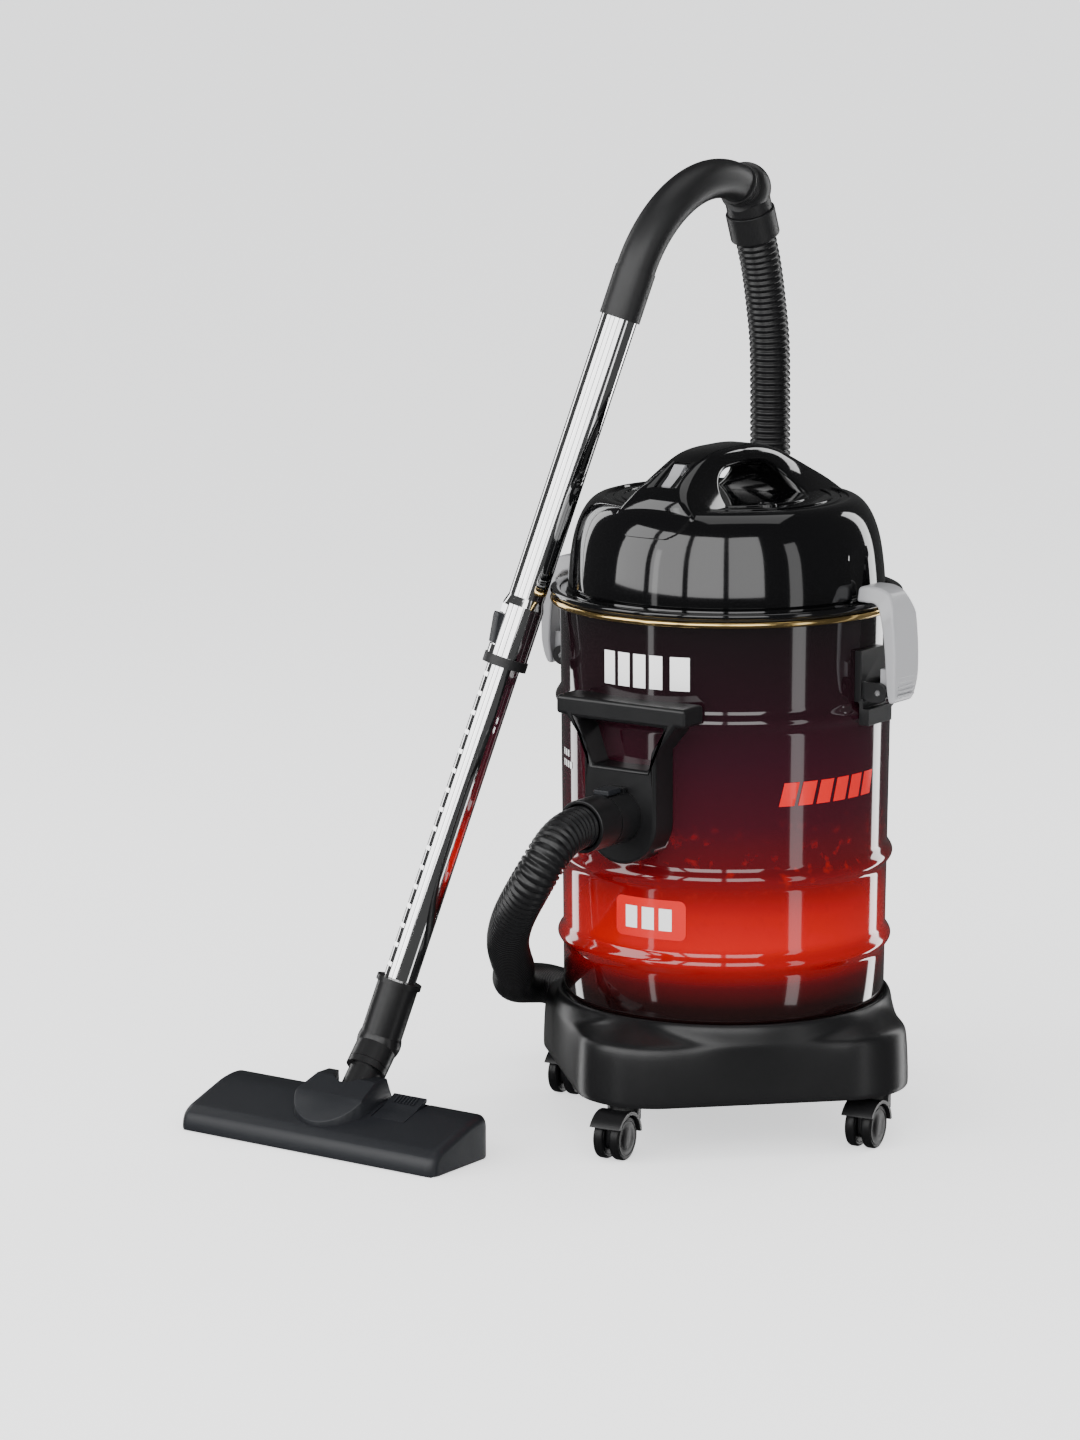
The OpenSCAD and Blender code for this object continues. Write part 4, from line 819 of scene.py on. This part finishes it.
outline = roundCorners([(0, y, z) for y, z in nozzle["section"]], nozzle["radii"], 5)
bm = bmesh.new()
bm.faces.new([bm.verts.new(point) for point in outline])
ringEdges = bm.edges[:]
bmesh.ops.translate(bm, verts=bm.verts, vec=(-nozzle["length"] / 2, 0, 0))
loop = bm.verts[:]
shape = [v.co.copy() for v in loop]
rows = [1 - math.cos(math.pi / 2 * k / nozzle["endSteps"]) for k in range(nozzle["endSteps"] + 1)]
stations = [(-nozzle["length"] / 2 + nozzle["endRound"] * share, shrinkAt(share)) for share in rows]
stations += [(-x, amount) for x, amount in reversed(stations)]
drawIn(loop, stations[0][1])
for x, amount in stations[1:]:
    moved = bmesh.ops.extrude_edge_only(bm, edges=ringEdges)
    ringEdges, loop = newEdges(moved), newVerts(moved)
    for v, at in zip(loop, shape):
        v.co = (x, at.y, at.z)
    drawIn(loop, amount)
bmesh.ops.contextual_create(bm, geom=ringEdges)
bmesh.ops.translate(bm, verts=bm.verts, vec=pivot)
nozzleShell = addPiece("nozzle_shell", bm, "nozzle_body", smooth=35)

# the hood: a tongue's plan drawn upwards, then sliced to its slopes and hollowed for the neck's leans
tongue = {
    "wide": 0.079, "tip": 0.056, "rear": 0.012, "nose": 0.036, "tall": 0.08, "edge": 0.003,
    "slopes": ((0.004, 0.057, 0), (-0.008, 0.056, 22), (-0.030, 0.047, 37)),
    "footY": -0.004, "footSink": 0.004, "footSlope": 17.8, "sideInset": 0.002, "sideZ": 0.044,
    "sideNormal": (0.94, 0.34), "leans": (-14, 0, 14), "neckSlope": 43, "neckRadius": 0.0215,
          "neckLong": 0.07,
    "barrelRadius": 0.0155, "barrelLong": 0.052,
}
half, tipCentre = tongue["wide"] / 2, tongue["tip"] - tongue["nose"]
plan = [(half, tongue["rear"], 0), (-half, tongue["rear"], 0)]
for degrees in range(180, 361, 5):
    x, y = onCircle(degrees, half, tongue["nose"])
    plan.append((x, y - tipCentre, 0))
bm = bmesh.new()
face = bm.faces.new([bm.verts.new(point) for point in plan])
moved = bmesh.ops.extrude_face_region(bm, geom=[face])
bmesh.ops.translate(bm, verts=newVerts(moved), vec=(0, 0, tongue["tall"]))
for y, z, slope in tongue["slopes"]:
    cutTo(bm, (0, y, z), turned(slope, "X") @ Vector((0, 0, 1)))
cutTo(bm, (0, tongue["footY"], nozzle["high"] - tongue["footSink"]),
      turned(tongue["footSlope"], "X") @ Vector((0, 0, -1)))
across, up = tongue["sideNormal"]
for side in (-1, 1):
    cutTo(bm, (side * (half - tongue["sideInset"]), 0, tongue["sideZ"]),
          Vector((side * across, 0, up)).normalized())
bmesh.ops.translate(bm, verts=bm.verts, vec=pivot)
hood = addPiece("nozzle_tongue", bm, "nozzle_hood", smooth=16, bevel=tongue["edge"], steps=4)
hood.modifiers["edges"].angle_limit = math.radians(30)
applyModifiers(hood)
rooms = []
for lean in tongue["leans"]:
    room = bmesh.new()
    addRod(room, tongue["neckRadius"], tongue["neckLong"], (0, 0, tongue["neckLong"] / 2))
    bmesh.ops.rotate(room, verts=room.verts, cent=(0, 0, 0), matrix=turned(-tongue["neckSlope"] - lean, "X"))
    bmesh.ops.translate(room, verts=room.verts, vec=neckPivot)
    rooms.append(room)
room = bmesh.new()
addRod(room, tongue["barrelRadius"], tongue["barrelLong"], neckPivot, turned(90, "Y"))
rooms.append(room)
carve(hood, rooms)

# the pedal, its ribs and its well; the shell gives way to the neck's barrel as well
pedal = {
    "x": 0.0625, "wide": 0.036, "edge": 0.0012,
    "section": [(-0.028, 0.0322), (-0.010, 0.038), (0.008, 0.047), (0.008, 0.0435), (-0.010, 0.029),
                (-0.028, 0.0290)],
    "radii": [0.001, 0.004, 0.0015, 0.001, 0.003, 0.001],
    "well": (0.038, 0.042, 0.03), "wellY": -0.008, "wellZ": 0.041, "wellSlope": 12,
    "ribs": 7, "ribPitch": 0.0035, "ribFirst": -0.0105, "rib": (0.0016, 0.010, 0.0012), "ribSlope": 26.5,
    "ribY": 0.0005, "ribZ": 0.0437, "bar": (0.015, 0.0016, 0.0012), "barY": -0.018, "barZ": -0.0014,
}
slot = bmesh.new()
addBox(slot, nozzle["slot"], pivot + Vector(nozzle["slotAt"]))
well = bmesh.new()
addBox(well, pedal["well"], pivot + Vector((pedal["x"], pedal["wellY"], pedal["wellZ"])),
       turned(pedal["wellSlope"], "X"))
carve(nozzleShell, [slot, well])

plate = slab(roundCorners([(0, y, z) for y, z in pedal["section"]], pedal["radii"], 3), pedal["wide"])
bmesh.ops.translate(plate, verts=plate.verts, vec=pivot + Vector((pedal["x"], 0, 0)))
addPiece("pedal_plate", plate, "nozzle_pedal", smooth=35, bevel=pedal["edge"], steps=3)
ribs = bmesh.new()
for k in range(pedal["ribs"]):
    addBox(ribs, pedal["rib"], (pedal["ribFirst"] + pedal["ribPitch"] * k, 0, 0))
addBox(ribs, pedal["bar"], (0, pedal["barY"], pedal["barZ"]))
bmesh.ops.rotate(ribs, verts=ribs.verts, cent=(0, 0, 0), matrix=turned(pedal["ribSlope"], "X"))
bmesh.ops.translate(ribs, verts=ribs.verts, vec=pivot + Vector((pedal["x"], pedal["ribY"], pedal["ribZ"])))
addPiece("pedal_ribs", ribs, "nozzle_pedal", alsoFor=None, smooth=30)
print("nozzle made")

# the casters: a wheel's spun profile as radius and height, in millimetres
caster = {
    "yaw": -83, "wide": 0.010, "web": 0.005, "gap": 0.0004, "pinRadius": 0.003, "pinLong": 0.008,
          "edge": 0.0012,
    "wheel": [(0, -5), (9.6, -5), (10.4, -4.6), (15.2, -4.6), (15.6, -5), (16.6, -5), (17.0, -4.5),
              (18.2, -4.6), (19.4, -3.9), (20, -2.6), (20, 2.6), (19.4, 3.9), (18.2, 4.6), (17.0, 4.5),
              (16.6, 5), (15.6, 5), (15.2, 4.6), (10.4, 4.6), (9.6, 5), (0, 5)],
}
for name in ("right", "rear", "left", "front"):
    bm = bmesh.new()
    for side in (-1, 1):
        part = lathe([(r * 0.001, 0, h * 0.001) for r, h in caster["wheel"]], 64)
        off = side * (caster["web"] / 2 + caster["gap"] + caster["wide"] / 2)
        bmesh.ops.translate(part, verts=part.verts, vec=(0, 0, off))
        mesh = bpy.data.meshes.new("wheel")
        part.to_mesh(mesh)
        part.free()
        bm.from_mesh(mesh)
        bpy.data.meshes.remove(mesh)
    addRod(bm, caster["pinRadius"], caster["pinLong"], (0, 0, 0))
    bmesh.ops.rotate(bm, verts=bm.verts, cent=(0, 0, 0), matrix=turned(caster["yaw"], "Z") @ turned(90, "X"))
    low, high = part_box("caster_wheels_" + name)
    bmesh.ops.translate(bm, verts=bm.verts, vec=(low + high) / 2)
    addPiece("wheels_" + name, bm, "caster_wheels_" + name, smooth=40)
    softened("caster_fork_" + name, caster["edge"], 2)
print("casters made")

# the studio: a pale floor that reaches past the view, an even sky and soft lamps
studio = {"floorHalf": 60, "floor": (0.88, 0.88, 0.88), "floorGlow": 1.0, "glowColour": (0.985, 0.99, 1),
          "sky": (0.95, 0.955, 0.96), "skyBright": 1.05, "skyMirrored": 0.07, "overheadAim": 0.35}
floor = bmesh.new()
bmesh.ops.create_grid(floor, x_segments=4, y_segments=4, size=studio["floorHalf"])
mesh = bpy.data.meshes.new("studio_floor")
floor.to_mesh(mesh)
floor.free()
ground = bpy.data.objects.new("studio_floor", mesh)
scene.collection.objects.link(ground)
pale = bpy.data.materials.new("palePaper")
pale.use_nodes = True
paper = pale.node_tree.nodes["Principled BSDF"]
paper.inputs["Base Color"].default_value = (*studio["floor"], 1)
paper.inputs["Emission Color"].default_value = (*studio["glowColour"], 1)
paper.inputs["Emission Strength"].default_value = studio["floorGlow"]
paper.inputs["Roughness"].default_value = 0.9
paper.inputs["Specular IOR Level"].default_value = 0.1
mesh.materials.append(pale)
ground.visible_glossy = False

world = bpy.data.worlds.new("studio")
scene.world = world
world.use_nodes = True
tree = world.node_tree
sky = tree.nodes["Background"]
sky.inputs["Color"].default_value = (*studio["sky"], 1)
sky.inputs["Strength"].default_value = studio["skyBright"]
dim = addNode(tree, "ShaderNodeBackground")
dim.inputs["Color"].default_value = (*studio["sky"], 1)
dim.inputs["Strength"].default_value = studio["skyMirrored"]
rays = addNode(tree, "ShaderNodeLightPath")
pick = addNode(tree, "ShaderNodeMixShader")
tree.links.new(rays.outputs["Is Glossy Ray"], pick.inputs[0])
tree.links.new(sky.outputs[0], pick.inputs[1])
tree.links.new(dim.outputs[0], pick.inputs[2])
tree.links.new(pick.outputs[0], tree.nodes["World Output"].inputs["Surface"])


def softLight(name, place, target, wide, tall, bright):
    lamp = bpy.data.lights.new(name, "AREA")
    lamp.shape = "RECTANGLE"
    lamp.size, lamp.size_y = wide, tall
    lamp.energy = bright * math.pi * wide * tall
    holder = bpy.data.objects.new(name, lamp)
    scene.collection.objects.link(holder)
    holder.location = place
    away = Vector(place) - Vector(target)
    holder.rotation_euler = away.to_track_quat("Z", "Y").to_euler()
    holder.visible_camera = False


# each lamp: its place, width, height and brightness
lamps = {
    "window_1": ((-1.96, -2.30, 1.72), 1.36, 2.5, 3.6),
    "window_2": ((-0.58, -2.97, 1.72), 1.36, 2.5, 3.6),
    "window_3": ((0.94, -2.88, 1.72), 1.36, 2.5, 3.6),
    "window_4": ((2.22, -2.07, 1.72), 1.36, 2.5, 3.0),
    "edge_right": ((0.75, 2.5, 0.4), 0.55, 3.6, 5.0),
    "edge_left": ((-2.6, 0.35, 0.4), 0.5, 3.6, 3.5),
    "strip_front": ((-1.0, -2.9, 0.1), 0.22, 3.0, 1.6),
    "strip_side": ((2.9, -0.35, 0.3), 0.5, 3.4, 1.6),
    "overhead": ((0.2, 0.2, 3.4), 2.2, 2.2, 1.0),
}
for name, (spot, wide, tall, bright) in lamps.items():
    targetHeight = studio["overheadAim"] if name == "overhead" else spot[2]
    softLight(name, spot, (0, 0, targetHeight), wide, tall, bright)
print("studio lit")
